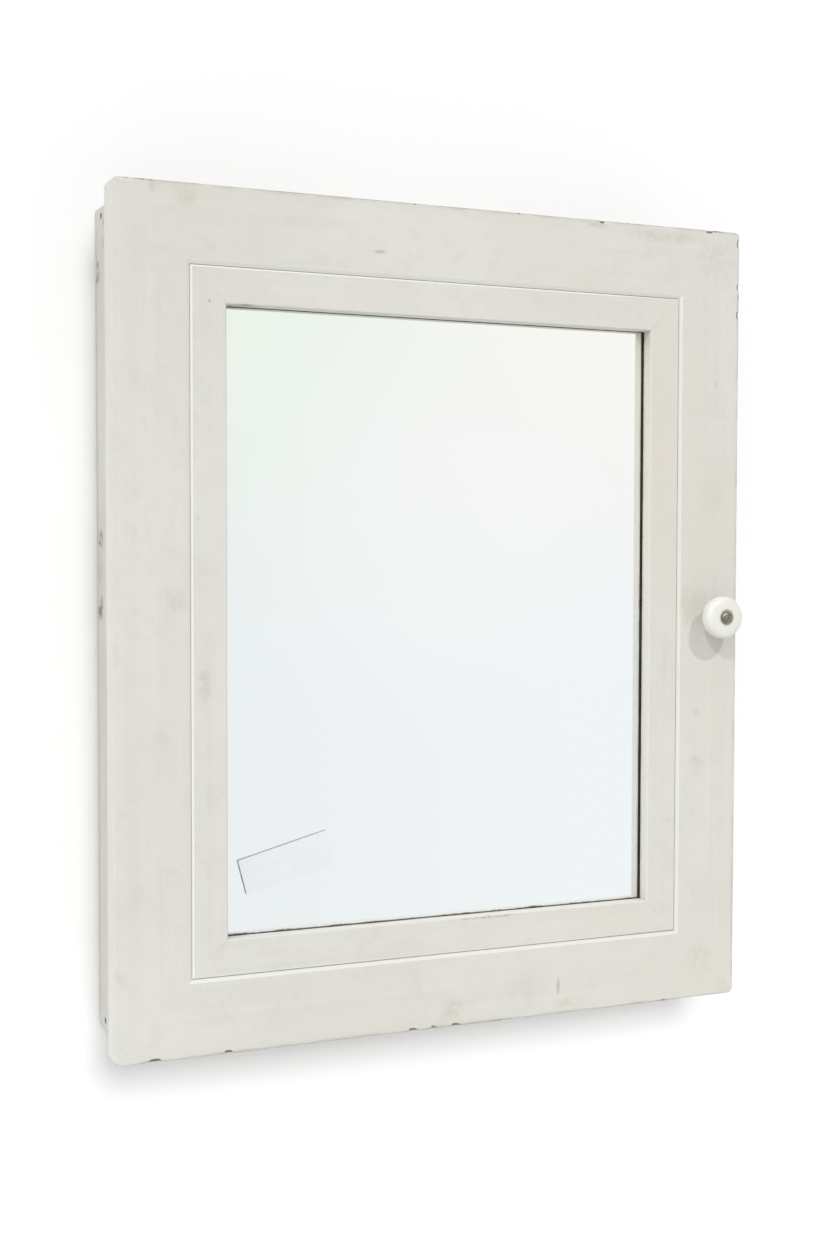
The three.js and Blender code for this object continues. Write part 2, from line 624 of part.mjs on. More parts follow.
function buildCase() {
  const left = cutHinges(sideBoard('left', -1), caseHingePocket, false);
  let right = sideBoard('right', 1);
  for (const { place } of CATCH_SCREWS) {
    right = right.subtract(screwHole(place, X));
  }
  add(caseGroup, 'side_left', left, CASE_PAINT);
  add(caseGroup, 'side_right', right, CASE_PAINT);
  add(caseGroup, 'top_board', endBoard('top', 1), CASE_PAINT);
  add(caseGroup, 'bottom_board', endBoard('bottom', -1), CASE_PAINT);

  const grip = 2 * (BACK_REBATE - SEAM);
  let back = block(around(0, INNER_WIDTH + grip), [BACK_FRONT, 0], around(0, INNER_HEIGHT + grip));
  const railBack = BACK_FRONT - SEAM;
  const railFront = railBack - RAIL_THICKNESS;
  const railWidth = around(0, INNER_WIDTH - 2 * SEAM);
  let rail = block(railWidth, [railFront, railBack], around(RAIL_MIDDLE, RAIL_HEIGHT));
  for (const hole of wallScrewHoles(railFront - OVERSHOOT, OVERSHOOT)) {
    back = back.subtract(hole);
    rail = rail.subtract(hole);
  }
  add(caseGroup, 'back_panel', back, CASE_PAINT);
  add(caseGroup, 'hanging_rail', rail, CASE_PAINT);

  for (let index = 0; index < SHELF_COUNT; index += 1) {
    const width = INNER_WIDTH + 2 * (DADO_DEPTH - SEAM);
    const high = around(shelfHeight(index), SHELF_THICKNESS);
    const shelf = block(around(0, width), [SHELF_FRONT, BACK_FRONT - SEAM], high);
    add(caseGroup, `shelf_${index + 1}`, shelf, CASE_PAINT);
  }
  for (const { name, place, into } of NAILS) {
    add(caseGroup, name, nail(place, into), IRON);
  }
}

// ---------------------------------------------------------------- hinges

// A leaf with its share of the knuckles. The case leaf has the odd ones, the door leaf the even ones.
function hingeLeaf(height, intoDoor) {
  const sign = intoDoor ? -1 : 1;
  const near = HINGE_Y + sign * LEAF_GAP / 2;
  const far = near + sign * LEAF_THICKNESS;
  const deep = [near, far].sort((a, b) => a - b);
  const plateFrom = -CASE_WIDTH / 2 + SEAM;
  let leaf = block([plateFrom, LEAF_END_X], deep, around(height, HINGE_LENGTH));
  const pitch = HINGE_LENGTH / KNUCKLE_COUNT;
  for (let index = intoDoor ? 1 : 0; index < KNUCKLE_COUNT; index += 2) {
    const bottom = height - HINGE_LENGTH / 2 + index * pitch + SEAM / 2;
    const length = pitch - SEAM;
    const from = new THREE.Vector3(HINGE_X, HINGE_Y, bottom);
    leaf = leaf.add(rod(KNUCKLE_RADIUS, from, length, Z));
    leaf = leaf.add(block([HINGE_X, plateFrom + OVERSHOOT], deep, [bottom, bottom + length]));
  }
  const pinRoom = new THREE.Vector3(HINGE_X, HINGE_Y, height - HINGE_LENGTH / 2 - OVERSHOOT);
  const pinBore = HINGE_PIN_RADIUS + HOLE_CLEARANCE;
  leaf = leaf.subtract(rod(pinBore, pinRoom, HINGE_LENGTH + 2 * OVERSHOOT, Z));
  const into = Y.clone().multiplyScalar(sign);
  for (const place of hingeScrewPlaces(height, intoDoor)) {
    leaf = leaf.subtract(screwHole(place, into));
  }
  return leaf;
}

function hingePin(height) {
  const reach = HINGE_LENGTH / 2 + SEAM;
  return turned([
    [0, -reach - PIN_HEAD_HEIGHT],
    [PIN_CROWN_RADIUS, -reach - PIN_HEAD_HEIGHT],
    [PIN_HEAD_RADIUS, -reach - PIN_HEAD_HEIGHT / 2],
    [PIN_HEAD_RADIUS, -reach],
    [HINGE_PIN_RADIUS, -reach],
    [HINGE_PIN_RADIUS, reach],
    [PIN_HEAD_RADIUS, reach],
    [PIN_HEAD_RADIUS, reach + PIN_HEAD_HEIGHT / 2],
    [PIN_CROWN_RADIUS, reach + PIN_HEAD_HEIGHT],
    [0, reach + PIN_HEAD_HEIGHT],
  ], new THREE.Vector3(HINGE_X, HINGE_Y, height), Z);
}

function buildHinges() {
  const rows = ['bottom', 'middle', 'top'];
  for (const [level, height] of Object.entries(HINGE_HEIGHTS)) {
    add(caseGroup, `hinge_${level}_case_leaf`, hingeLeaf(height, false), BRASS);
    add(doorGroup, `hinge_${level}_door_leaf`, hingeLeaf(height, true), BRASS);
    add(caseGroup, `hinge_${level}_pin`, hingePin(height), BRASS);
    hingeScrewPlaces(height, false).forEach((place, index) => {
      add(caseGroup, `hinge_${level}_case_screw_${rows[index]}`, woodScrew(place, Y, X), BRASS);
    });
    hingeScrewPlaces(height, true).forEach((place, index) => {
      const screw = woodScrew(place, Y.clone().negate(), Z);
      add(doorGroup, `hinge_${level}_door_screw_${rows[index]}`, screw, BRASS);
    });
  }
}

// ---------------------------------------------------------------- magnetic catch

function buildCatch() {
  const outer = [CATCH_X - CATCH_WIDTH, CATCH_X];
  const deep = [CATCH_FRONT, CATCH_FRONT + CATCH_DEPTH];
  const housing = block(outer, deep, around(CATCH_HEIGHT, CATCH_BLOCK_LENGTH));
  const ears = block([CATCH_X - CATCH_EAR, CATCH_X], deep, around(CATCH_HEIGHT, CATCH_LENGTH));
  const pocket = block(
    around(STRIKE_X, MAGNET_WIDTH + 2 * SEAM),
    [CATCH_FRONT - OVERSHOOT, CATCH_FRONT + MAGNET_DEPTH + SEAM],
    around(CATCH_HEIGHT, MAGNET_LENGTH + 2 * SEAM),
  );
  let body = housing.add(ears).subtract(pocket);
  for (const { place } of CATCH_SCREWS) {
    body = body.subtract(screwHole(place, X));
  }
  add(caseGroup, 'catch_case', body, DARK_PLASTIC);
  const magnet = block(
    around(STRIKE_X, MAGNET_WIDTH),
    [CATCH_FRONT, CATCH_FRONT + MAGNET_DEPTH],
    around(CATCH_HEIGHT, MAGNET_LENGTH),
  );
  add(caseGroup, 'catch_magnet', magnet, STEEL);
  for (const { name, place } of CATCH_SCREWS) {
    add(caseGroup, `catch_screw_${name}`, woodScrew(place, X, Y), STEEL);
  }
  const strike = block(
    around(STRIKE_X, STRIKE_WIDTH),
    [DOOR_BACK + SEAM, DOOR_BACK + SEAM + STRIKE_THICKNESS],
    around(CATCH_HEIGHT, STRIKE_LENGTH),
  );
  const into = Y.clone().negate();
  add(doorGroup, 'strike_plate', strike.subtract(screwHole(STRIKE_SCREW, into)), STEEL);
  add(doorGroup, 'strike_screw', woodScrew(STRIKE_SCREW, into, Z), STEEL);
}

buildDoorFrame();
buildMirror();
buildLabel();
buildKnob();
buildCase();
buildHinges();
buildCatch();

export default cabinet;
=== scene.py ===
"""Looks of the wall-hung medicine cabinet: an old white-painted case with a mirrored door."""

import math

import bmesh
import bpy
from mathutils import Matrix, Vector, noise
from mathutils.geometry import interpolate_bezier


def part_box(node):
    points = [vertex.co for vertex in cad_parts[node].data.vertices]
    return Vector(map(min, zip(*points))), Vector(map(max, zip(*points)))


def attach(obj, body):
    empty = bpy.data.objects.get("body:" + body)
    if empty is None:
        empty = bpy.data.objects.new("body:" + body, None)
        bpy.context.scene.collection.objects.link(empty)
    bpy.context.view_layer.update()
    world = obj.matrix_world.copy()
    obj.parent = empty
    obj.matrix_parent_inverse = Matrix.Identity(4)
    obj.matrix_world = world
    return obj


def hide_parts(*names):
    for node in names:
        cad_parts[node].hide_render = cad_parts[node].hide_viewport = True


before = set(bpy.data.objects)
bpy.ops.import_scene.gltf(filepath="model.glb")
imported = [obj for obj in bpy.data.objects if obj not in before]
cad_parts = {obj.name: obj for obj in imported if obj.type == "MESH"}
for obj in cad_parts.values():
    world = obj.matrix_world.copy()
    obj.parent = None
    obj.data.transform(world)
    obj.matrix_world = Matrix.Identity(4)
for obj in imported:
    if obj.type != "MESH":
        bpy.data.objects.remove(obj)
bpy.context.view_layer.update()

MM = 0.001
SIDES = ("bottom", "left", "top", "right")
LEVELS = ("upper", "lower")
ROWS = ("bottom", "middle", "top")


def joined_box(names):
    """Lowest and highest corner of several CAD nodes together."""
    boxes = [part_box(name) for name in names]
    low = Vector([min(box[0][i] for box in boxes) for i in range(3)])
    high = Vector([max(box[1][i] for box in boxes) for i in range(3)])
    return low, high


# ------------------------------------------------------------------ places read from the frame

DOOR_LOW, DOOR_HIGH = joined_box([f"outer_frame_{side}" for side in SIDES])
CASE_LOW, CASE_HIGH = joined_box(["side_left", "side_right", "top_board", "bottom_board", "back_panel"])
DOOR_HALF_X = (DOOR_HIGH.x - DOOR_LOW.x) / 2
DOOR_HALF_Z = (DOOR_HIGH.z - DOOR_LOW.z) / 2
DOOR_HEIGHT = 2 * DOOR_HALF_Z
DOOR_FRONT = DOOR_LOW.y
GROOVE_HALF_X = DOOR_HALF_X - (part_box("outer_frame_left")[1].x - DOOR_LOW.x)
GROOVE_HALF_Z = DOOR_HALF_Z - (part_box("outer_frame_bottom")[1].z - DOOR_LOW.z)
SIGHT_HALF_X = abs(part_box("inner_frame_left")[1].x)
SIGHT_HALF_Z = abs(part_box("inner_frame_bottom")[1].z)


# ------------------------------------------------------------------ camera, light and stage

# The viewpoint stands to the left of the door and a little above its middle.
EYE_FROM_DOOR = Vector((-0.8934, -1.8986, 0.0844))
TURN_RIGHT = math.radians(24.08)
TILT_DOWN = math.radians(2.413)
ROLL = math.radians(0.12)
SENSOR_WIDTH = 36.0
LENS_LENGTH = 49.73


def make_camera():
    data = bpy.data.cameras.new("camera")
    data.sensor_width = SENSOR_WIDTH
    data.lens = LENS_LENGTH
    data.clip_start = 10 * MM
    camera = bpy.data.objects.new("camera", data)
    bpy.context.scene.collection.objects.link(camera)
    forward = Vector((
        math.sin(TURN_RIGHT) * math.cos(TILT_DOWN),
        math.cos(TURN_RIGHT) * math.cos(TILT_DOWN),
        -math.sin(TILT_DOWN),
    ))
    aim = forward.to_track_quat("-Z", "Y").to_matrix().to_4x4()
    eye = EYE_FROM_DOOR * DOOR_HEIGHT + Vector((0, DOOR_FRONT, 0))
    camera.matrix_world = Matrix.Translation(eye) @ aim @ Matrix.Rotation(ROLL, 4, "Z")
    bpy.context.scene.camera = camera


# Strength of the room's even light: as it falls on things, and as polished things mirror it.
AMBIENT = 0.57
MIRRORED_ROOM = 0.94
WARM_LIGHT = (1.0, 0.995, 0.98)
COOL_LIGHT = (0.97, 0.99, 1.0)
PLAIN_LIGHT = (1.0, 1.0, 1.0)
# Each lamp: the way its light travels, its strength, its softness in degrees, its colour, and whether it is
# for the wall alone.
LAMPS = {
    "main lamp": ((-3.6, 20.0, -18.0), 0.88, 2.5, WARM_LIGHT, False),
    "side lamp": ((18.3, 20.0, -18.0), 0.79, 2.5, WARM_LIGHT, False),
    "window": ((1.0, 0.42, -0.62), 0.85, 80.0, COOL_LIGHT, False),
    "wall lamp": ((0.14, 1.0, -0.46), 1.83, 24.0, PLAIN_LIGHT, True),
}


def make_sun(name, travel, strength, softness, colour):
    """A distant lamp."""
    data = bpy.data.lights.new(name, "SUN")
    data.energy = strength
    data.angle = math.radians(softness)
    data.color = colour
    lamp = bpy.data.objects.new(name, data)
    bpy.context.scene.collection.objects.link(lamp)
    lamp.rotation_mode = "QUATERNION"
    lamp.rotation_quaternion = Vector(travel).to_track_quat("-Z", "Y")
    return lamp


def make_world():
    """Even pale light from the room, brighter where polished things mirror the room itself."""
    world = bpy.data.worlds.new("studio")
    bpy.context.scene.world = world
    world.use_nodes = True
    tree = world.node_tree
    background = tree.nodes["Background"]
    background.inputs["Color"].default_value = (*PLAIN_LIGHT, 1)
    mirrored = tree.nodes.new("ShaderNodeLightPath").outputs["Is Glossy Ray"]
    level = tree.nodes.new("ShaderNodeMapRange")
    level.inputs["To Min"].default_value = AMBIENT
    level.inputs["To Max"].default_value = MIRRORED_ROOM
    tree.links.new(mirrored, level.inputs["Value"])
    tree.links.new(level.outputs["Result"], background.inputs["Strength"])


def stage_plane(name, size, place, turn, material):
    mesh = bpy.data.meshes.new(name)
    bm = bmesh.new()
    bmesh.ops.create_grid(bm, x_segments=1, y_segments=1, size=size)
    bmesh.ops.transform(bm, matrix=Matrix.Translation(place) @ turn, verts=bm.verts)
    bm.to_mesh(mesh)
    bm.free()
    plane = bpy.data.objects.new(name, mesh)
    bpy.context.scene.collection.objects.link(plane)
    mesh.materials.append(material)
    return plane


# ------------------------------------------------------------------ node helpers

def feed(tree, socket, value):
    """Links a socket to another one, or sets its value."""
    if isinstance(value, bpy.types.NodeSocket):
        tree.links.new(value, socket)
    else:
        socket.default_value = value


def put(tree, kind, settings=None, **inputs):
    """Adds a node. Inputs go by name, with underscores for spaces, or by number: i0, i1 and so on."""
    node = tree.nodes.new(kind)
    for key, value in (settings or {}).items():
        setattr(node, key, value)
    for key, value in inputs.items():
        numbered = key[0] == "i" and key[1:].isdigit()
        feed(tree, node.inputs[int(key[1:]) if numbered else key.replace("_", " ")], value)
    return node


def maths(tree, operation, first, second=0.0, third=0.0, clamp=False):
    settings = {"operation": operation, "use_clamp": clamp}
    return put(tree, "ShaderNodeMath", settings, i0=first, i1=second, i2=third).outputs[0]


def times(tree, first, *others):
    for other in others:
        first = maths(tree, "MULTIPLY", first, other)
    return first


def vector_maths(tree, operation, first, second, output=0):
    return put(tree, "ShaderNodeVectorMath", {"operation": operation}, i0=first, i1=second).outputs[output]


def split(tree, vector):
    """The X, Y and Z of a vector."""
    return put(tree, "ShaderNodeSeparateXYZ", None, Vector=vector).outputs


def spread(tree, value, low, high, to_low=0.0, to_high=1.0):
    """Maps a value from one range to another, smoothly and clamped."""
    node = put(
        tree, "ShaderNodeMapRange", {"interpolation_type": "SMOOTHSTEP"},
        Value=value, From_Min=low, From_Max=high, To_Min=to_low, To_Max=to_high,
    )
    return node.outputs["Result"]


def blend_colour(tree, share, first, second):
    settings = {"data_type": "RGBA", "clamp_factor": True}
    return put(tree, "ShaderNodeMix", settings, i0=share, i6=first, i7=second).outputs[2]


def noise_value(tree, vector, scale, detail=3.0, roughness=0.55, distortion=0.0):
    node = put(
        tree, "ShaderNodeTexNoise", None,
        Vector=vector, Scale=scale, Detail=detail, Roughness=roughness, Distortion=distortion,
    )
    return node.outputs["Fac"]


def new_group(name, inputs, outputs):
    """A shader node group with named sockets: (name, type, default) and (name, type)."""
    group = bpy.data.node_groups.new(name, "ShaderNodeTree")
    for label, kind, default in inputs:
        socket = group.interface.new_socket(name=label, in_out="INPUT", socket_type=kind)
        if default is not None:
            socket.default_value = default
    for label, kind in outputs:
        group.interface.new_socket(name=label, in_out="OUTPUT", socket_type=kind)
    return group, group.nodes.new("NodeGroupInput"), group.nodes.new("NodeGroupOutput")


FLOAT, VECTOR = "NodeSocketFloat", "NodeSocketVector"


def outline_distance_group():
    """Signed distance in metres from an upright rectangle around the middle: negative inside it."""
    group, given, made = new_group(
        "outline distance",
        [("Vector", VECTOR, None), ("Half Width", FLOAT, 0.2), ("Half Height", FLOAT, 0.2)],
        [("Distance", FLOAT)],
    )
    parts = split(group, given.outputs["Vector"])
    from_middle = [maths(group, "ABSOLUTE", parts[axis]) for axis in "XZ"]
    across = maths(group, "SUBTRACT", from_middle[0], given.outputs["Half Width"])
    up = maths(group, "SUBTRACT", from_middle[1], given.outputs["Half Height"])
    group.links.new(maths(group, "MAXIMUM", across, up), made.inputs["Distance"])
    return group


def arris_distance_group():
    """Distance in metres from the nearest edge of a box: the middle one of the three face distances."""
    group, given, made = new_group(
        "arris distance",
        [("Vector", VECTOR, None), ("Low", VECTOR, None), ("High", VECTOR, None)],
        [("Distance", FLOAT)],
    )
    vector = given.outputs["Vector"]
    above = vector_maths(group, "SUBTRACT", vector, given.outputs["Low"])
    below = vector_maths(group, "SUBTRACT", given.outputs["High"], vector)
    parts = split(group, vector_maths(group, "MINIMUM", above, below))
    first, second, third = (parts[axis] for axis in "XYZ")
    low_pair = maths(group, "MINIMUM", first, second)
    high_pair = maths(group, "MAXIMUM", first, second)
    middle = maths(group, "MAXIMUM", low_pair, maths(group, "MINIMUM", high_pair, third))
    group.links.new(middle, made.inputs["Distance"])
    return group


def brush_group():
    """Fine streaks left by a paint brush; the vector is stretched along the stroke beforehand."""
    group, given, made = new_group("brush marks", [("Vector", VECTOR, None)], [("Streak", FLOAT)])
    vector = given.outputs["Vector"]
    broad = noise_value(group, vector, 1.0, 4.0, 0.6, 0.15)
    fine = noise_value(group, vector, 4.3, 3.0, 0.65, 0.1)
    streak = maths(group, "MULTIPLY_ADD", broad, 0.65, times(group, fine, 0.35))
    group.links.new(streak, made.inputs["Streak"])
    return group


def stain_group():
    """Sparse soft blotches; a higher Threshold leaves fewer of them."""
    group, given, made = new_group(
        "stains",
        [
            ("Vector", VECTOR, None), ("Scale", FLOAT, 10.0),
            ("Threshold", FLOAT, 0.6), ("Softness", FLOAT, 0.15),
        ],
        [("Mask", FLOAT)],
    )
    broad = noise_value(group, given.outputs["Vector"], given.outputs["Scale"], 4.0, 0.6, 0.6)
    threshold = given.outputs["Threshold"]
    full = maths(group, "ADD", threshold, given.outputs["Softness"])
    group.links.new(spread(group, broad, threshold, full), made.inputs["Mask"])
    return group


def chips_group():
    """Where paint has chipped off: broken patches close to an arris."""
    group, given, made = new_group(
        "edge chips",
        [
            ("Vector", VECTOR, None), ("Distance", FLOAT, 0.0), ("Reach", FLOAT, 0.002),
            ("Amount", FLOAT, 0.5), ("Scale", FLOAT, 60.0),
        ],
        [("Mask", FLOAT)],
    )
    vector = given.outputs["Vector"]
    patches = noise_value(group, vector, given.outputs["Scale"], 5.0, 0.7, 0.4)
    regions = noise_value(group, vector, 7.0, 2.0, 0.5)
    near = put(
        group, "ShaderNodeMapRange", None,
        Value=given.outputs["Distance"], From_Min=0.0, From_Max=given.outputs["Reach"],
        To_Min=1.0, To_Max=0.0,
    ).outputs["Result"]
    where = maths(group, "MULTIPLY_ADD", maths(group, "SUBTRACT", regions, 0.5), 0.5, patches)
    level = maths(group, "ADD", where, times(group, near, 0.28))
    cut = maths(group, "SUBTRACT", 1.0, times(group, given.outputs["Amount"], 0.4))
    sharpness = 22.0
    mask = maths(group, "MULTIPLY", maths(group, "SUBTRACT", level, cut), sharpness, clamp=True)
    group.links.new(times(group, mask, maths(group, "GREATER_THAN", near, 0.001)), made.inputs["Mask"])
    return group


def spot_group():
    """One ragged spot on an upright face."""
    group, given, made = new_group(
        "spot",
        [("Vector", VECTOR, None), ("Place", VECTOR, None), ("Half Size", VECTOR, (0.01, 1.0, 0.01))],
        [("Mask", FLOAT)],
    )
    vector = given.outputs["Vector"]
    away = vector_maths(group, "SUBTRACT", vector, given.outputs["Place"])
    parts = split(group, vector_maths(group, "DIVIDE", away, given.outputs["Half Size"]))
    across = maths(group, "POWER", maths(group, "ABSOLUTE", parts["X"]), 2.0)
    up = maths(group, "POWER", maths(group, "ABSOLUTE", parts["Z"]), 2.0)
    distance = maths(group, "SQRT", maths(group, "ADD", across, up))
    ragged = maths(group, "MULTIPLY_ADD", noise_value(group, vector, 260.0, 4.0, 0.65), 1.1, -0.55)
    edge = maths(group, "ADD", distance, ragged)
    soft = spread(group, edge, 0.2, 1.15, 1.0, 0.0)
    patchy = spread(group, noise_value(group, vector, 140.0, 5.0, 0.7), 0.35, 0.62, 0.15, 1.0)
    group.links.new(times(group, soft, patchy), made.inputs["Mask"])
    return group


def mitre_group():
    """Faint broken lines where the corners of a frame are mitred."""
    group, given, made = new_group(
        "mitre line",
        [("Vector", VECTOR, None), ("Half Width", FLOAT, 0.2), ("Half Height", FLOAT, 0.2)],
        [("Mask", FLOAT)],
    )
    vector = given.outputs["Vector"]
    parts = split(group, vector)
    from_middle = [maths(group, "ABSOLUTE", parts[axis]) for axis in "XZ"]
    across = maths(group, "SUBTRACT", given.outputs["Half Width"], from_middle[0])
    up = maths(group, "SUBTRACT", given.outputs["Half Height"], from_middle[1])
    off_line = maths(group, "ABSOLUTE", maths(group, "SUBTRACT", across, up))
    line = spread(group, off_line, 0.2 * MM, 0.6 * MM, 1.0, 0.0)
    broken = spread(group, noise_value(group, vector, 90.0, 4.0, 0.7), 0.42, 0.62)
    outer_end = spread(group, across, 12 * MM, 26 * MM, 1.0, 0.0)
    inner_end = spread(group, across, 66 * MM, 74 * MM)
    ends = maths(group, "MAXIMUM", outer_end, inner_end)
    group.links.new(times(group, line, broken, ends), made.inputs["Mask"])
    return group


OUTLINE_DISTANCE = outline_distance_group()
ARRIS_DISTANCE = arris_distance_group()
BRUSH_MARKS = brush_group()
STAINS = stain_group()
EDGE_CHIPS = chips_group()
SPOT = spot_group()
MITRE_LINE = mitre_group()


def use(tree, group, output, **inputs):
    """Places a node group and gives back one of its outputs."""
    return put(tree, "ShaderNodeGroup", {"node_tree": group}, **inputs).outputs[output]


def new_material(name):
    material = bpy.data.materials.new(name)
    material.use_nodes = True
    tree = material.node_tree
    place = tree.nodes.new("ShaderNodeTexCoord").outputs["Object"]
    return material, tree, tree.nodes["Principled BSDF"], place


def bump(tree, shader, height, distance):
    node = put(tree, "ShaderNodeBump", None, Height=height, Distance=distance)
    tree.links.new(node.outputs["Normal"], shader.inputs["Normal"])


def stretch(tree, place, scale):
    return put(tree, "ShaderNodeMapping", None, Vector=place, Scale=scale).outputs["Vector"]


# ------------------------------------------------------------------ finishes

DOOR_WHITE = (0.652, 0.652, 0.612, 1)
DOOR_SHADE = (0.600, 0.596, 0.550, 1)
DOOR_ROSY = (0.650, 0.612, 0.560, 1)
# Lighter paint that stands as a painted highlight on the groove's bevels.
DOOR_PAINTED_HIGHLIGHT = (0.760, 0.760, 0.725, 1)
CASE_WHITE = (0.590, 0.588, 0.552, 1)
CASE_SHADE = (0.480, 0.468, 0.430, 1)
YELLOWED = (0.560, 0.505, 0.400, 1)
STAINED = (0.420, 0.365, 0.275, 1)
DIRT = (0.230, 0.190, 0.135, 1)
BARE_DARK = (0.125, 0.092, 0.062, 1)
BARE_LIGHT = (0.330, 0.270, 0.200, 1)
PALE_TIMBER = (0.520, 0.360, 0.210, 1)
DARK_TIMBER = (0.330, 0.200, 0.105, 1)
FIBRE_DARK = (0.200, 0.125, 0.070, 1)
FIBRE_LIGHT = (0.330, 0.220, 0.130, 1)
FIBRE_DAMP = (0.140, 0.090, 0.055, 1)
# Painted reflection tints for the mirror's silvering, and a pale painted glare.
REFLECTED_GREEN = (0.885, 0.955, 0.885, 1)
REFLECTED_CREAM = (0.990, 0.990, 0.950, 1)
REFLECTED_BLUE = (0.885, 0.925, 0.935, 1)
REFLECTED_COOL = (0.925, 0.965, 0.980, 1)
REFLECTED_GLARE = (0.985, 0.980, 0.990, 1)
SILVER_GONE = (0.200, 0.155, 0.100, 1)
GLAZE_WHITE = (0.745, 0.745, 0.700, 1)
GLAZE_CREAM = (0.700, 0.700, 0.650, 1)
GLAZE_SPECK = (0.450, 0.410, 0.340, 1)
PLASTIC_DARK = (0.060, 0.038, 0.024, 1)
PLASTIC_LIGHT = (0.095, 0.065, 0.045, 1)
PAPER_SHADE = (0.700, 0.715, 0.745, 1)
PAPER_WHITE = (0.740, 0.755, 0.785, 1)
PAPER_HANDLED = (0.660, 0.660, 0.700, 1)
WALL_WHITE = (0.855, 0.856, 0.862, 1)
FLOOR_WHITE = (0.800, 0.800, 0.790, 1)

# How a pattern is drawn out along a board: brush strokes, and the grain of timber.
ALONG_X = (2.5, 150.0, 150.0)
ALONG_Z = (150.0, 150.0, 2.5)
GRAIN_X = (3.0, 60.0, 60.0)
GRAIN_Z = (60.0, 60.0, 3.0)

# How readily paint chips along the arrises.
DOOR_CHIPS = 0.42
CASE_CHIPS = 0.50

# Marks on the door: place across and up (mm), half size across and up (mm), strength and colour.
DOOR_MARKS = (
    (-184.8, 224.9, 1.25, 1.3, 1.0, BARE_DARK),
    (-56.5, 268.0, 7.0, 1.8, 0.60, DIRT),
    (-201.0, 296.0, 11.0, 8.0, 0.42, STAINED),
    (-225.0, 300.0, 3.0, 5.0, 0.30, DIRT),
    (113.9, 268.0, 1.6, 2.4, 0.40, DIRT),
    (124.0, 301.0, 12.0, 2.6, 0.45, DIRT),
    (186.0, 297.0, 40.0, 6.0, 0.38, STAINED),
    (232.0, 284.0, 24.0, 22.0, 0.34, STAINED),
    (232.9, 183.9, 1.6, 4.0, 0.60, DIRT),
    (232.7, 199.6, 4.0, 8.0, 0.22, DIRT),
    (230.0, 100.0, 12.0, 24.0, 0.24, STAINED),
    (211.0, 9.0, 18.0, 18.0, 0.50, STAINED),
    (-194.0, 74.0, 2.0, 3.0, 0.22, DIRT),
    (-211.0, 16.0, 14.0, 12.0, 0.22, DIRT),
    (-189.0, -41.0, 7.0, 24.0, 0.40, STAINED),
    (-222.0, -78.0, 9.0, 5.0, 0.16, DIRT),
    (199.7, -42.0, 2.0, 7.0, 0.30, STAINED),
    (217.0, -76.0, 3.5, 3.0, 0.30, DIRT),
    (216.4, -117.0, 8.0, 10.0, 0.38, STAINED),
    (243.4, -73.6, 3.0, 2.4, 0.30, DIRT),
    (2.0, -292.0, 12.0, 11.0, 0.42, STAINED),
    (93.3, -283.1, 1.7, 8.0, 0.80, BARE_DARK),
    (103.0, -296.5, 16.0, 5.0, 0.45, STAINED),
    (222.0, -273.0, 15.0, 16.0, 0.48, STAINED),
    (244.0, -298.0, 9.0, 7.0, 0.35, STAINED),
    (34.0, -224.6, 34.0, 1.2, 0.85, BARE_DARK),
    (-160.0, 223.3, 13.0, 1.2, 0.95, BARE_DARK),
)


# Marks on the case's left side: place out from the wall and up (mm), half size in both, strength and colour.
CASE_MARKS = (
    # The first two marks make a pale lump, with dark around it towards the door: partly chipped paint, partly
    # the lump's painted shadow.
    (-8.0, 60.5, 12.0, 7.0, 1.00, BARE_DARK),
    (-1.0, 61.0, 8.5, 4.6, 0.90, CASE_WHITE),
    (-12.0, 14.0, 7.0, 6.0, 1.00, BARE_DARK),
    (-8.0, 6.5, 7.5, 6.5, 1.00, BARE_DARK),
    (-6.0, 36.0, 16.0, 18.0, 0.25, DIRT),
    (-4.0, 257.0, 7.0, 4.5, 0.90, BARE_DARK),
    (-6.0, 248.0, 7.0, 5.5, 0.85, BARE_DARK),
    (-22.0, 284.0, 6.0, 4.0, 0.60, BARE_DARK),
    (-22.0, 271.0, 5.0, 5.0, 0.50, BARE_DARK),
)


def paint_tones(tree, place, along, white, shade):
    """Colour and brush streak of old paint laid on along one direction."""
    strokes = stretch(tree, place, along)
    streak = use(tree, BRUSH_MARKS, "Streak", Vector=strokes)
    cloud = noise_value(tree, place, 5.0, 3.0, 0.55, 0.3)
    tone = maths(tree, "MULTIPLY_ADD", streak, 0.45, times(tree, cloud, 0.65))
    colour = blend_colour(tree, spread(tree, tone, 0.40, 0.72), white, shade)
    mottle = spread(tree, noise_value(tree, place, 55.0, 6.0, 0.75, 0.3), 0.46, 0.66, 0.0, 0.07)
    return blend_colour(tree, mottle, colour, DIRT), streak


def add_stains(tree, place, colour, amount):
    """Yellowed patches, with smaller smudges of dirt."""
    yellowing = use(tree, STAINS, "Mask", Vector=place, Scale=6.0, Threshold=0.54, Softness=0.25)
    colour = blend_colour(tree, times(tree, yellowing, amount), colour, YELLOWED)
    smudges = use(tree, STAINS, "Mask", Vector=place, Scale=22.0, Threshold=0.66, Softness=0.12)
    return blend_colour(tree, times(tree, smudges, 0.6 * amount), colour, DIRT)


def add_marks(tree, vector, colour, marks, visible=None):
    """Single scuffs, stains and holes, each at its own place across and up."""
    for across, up, half_width, half_height, strength, tint in marks:
        share = use(
            tree, SPOT, "Mask",
            Vector=vector, Place=(across * MM, 0, up * MM), Half_Size=(half_width * MM, 1, half_height * MM),
        )
        if visible is not None:
            share = times(tree, share, visible)
        colour = blend_colour(tree, times(tree, share, strength), colour, tint)
    return colour


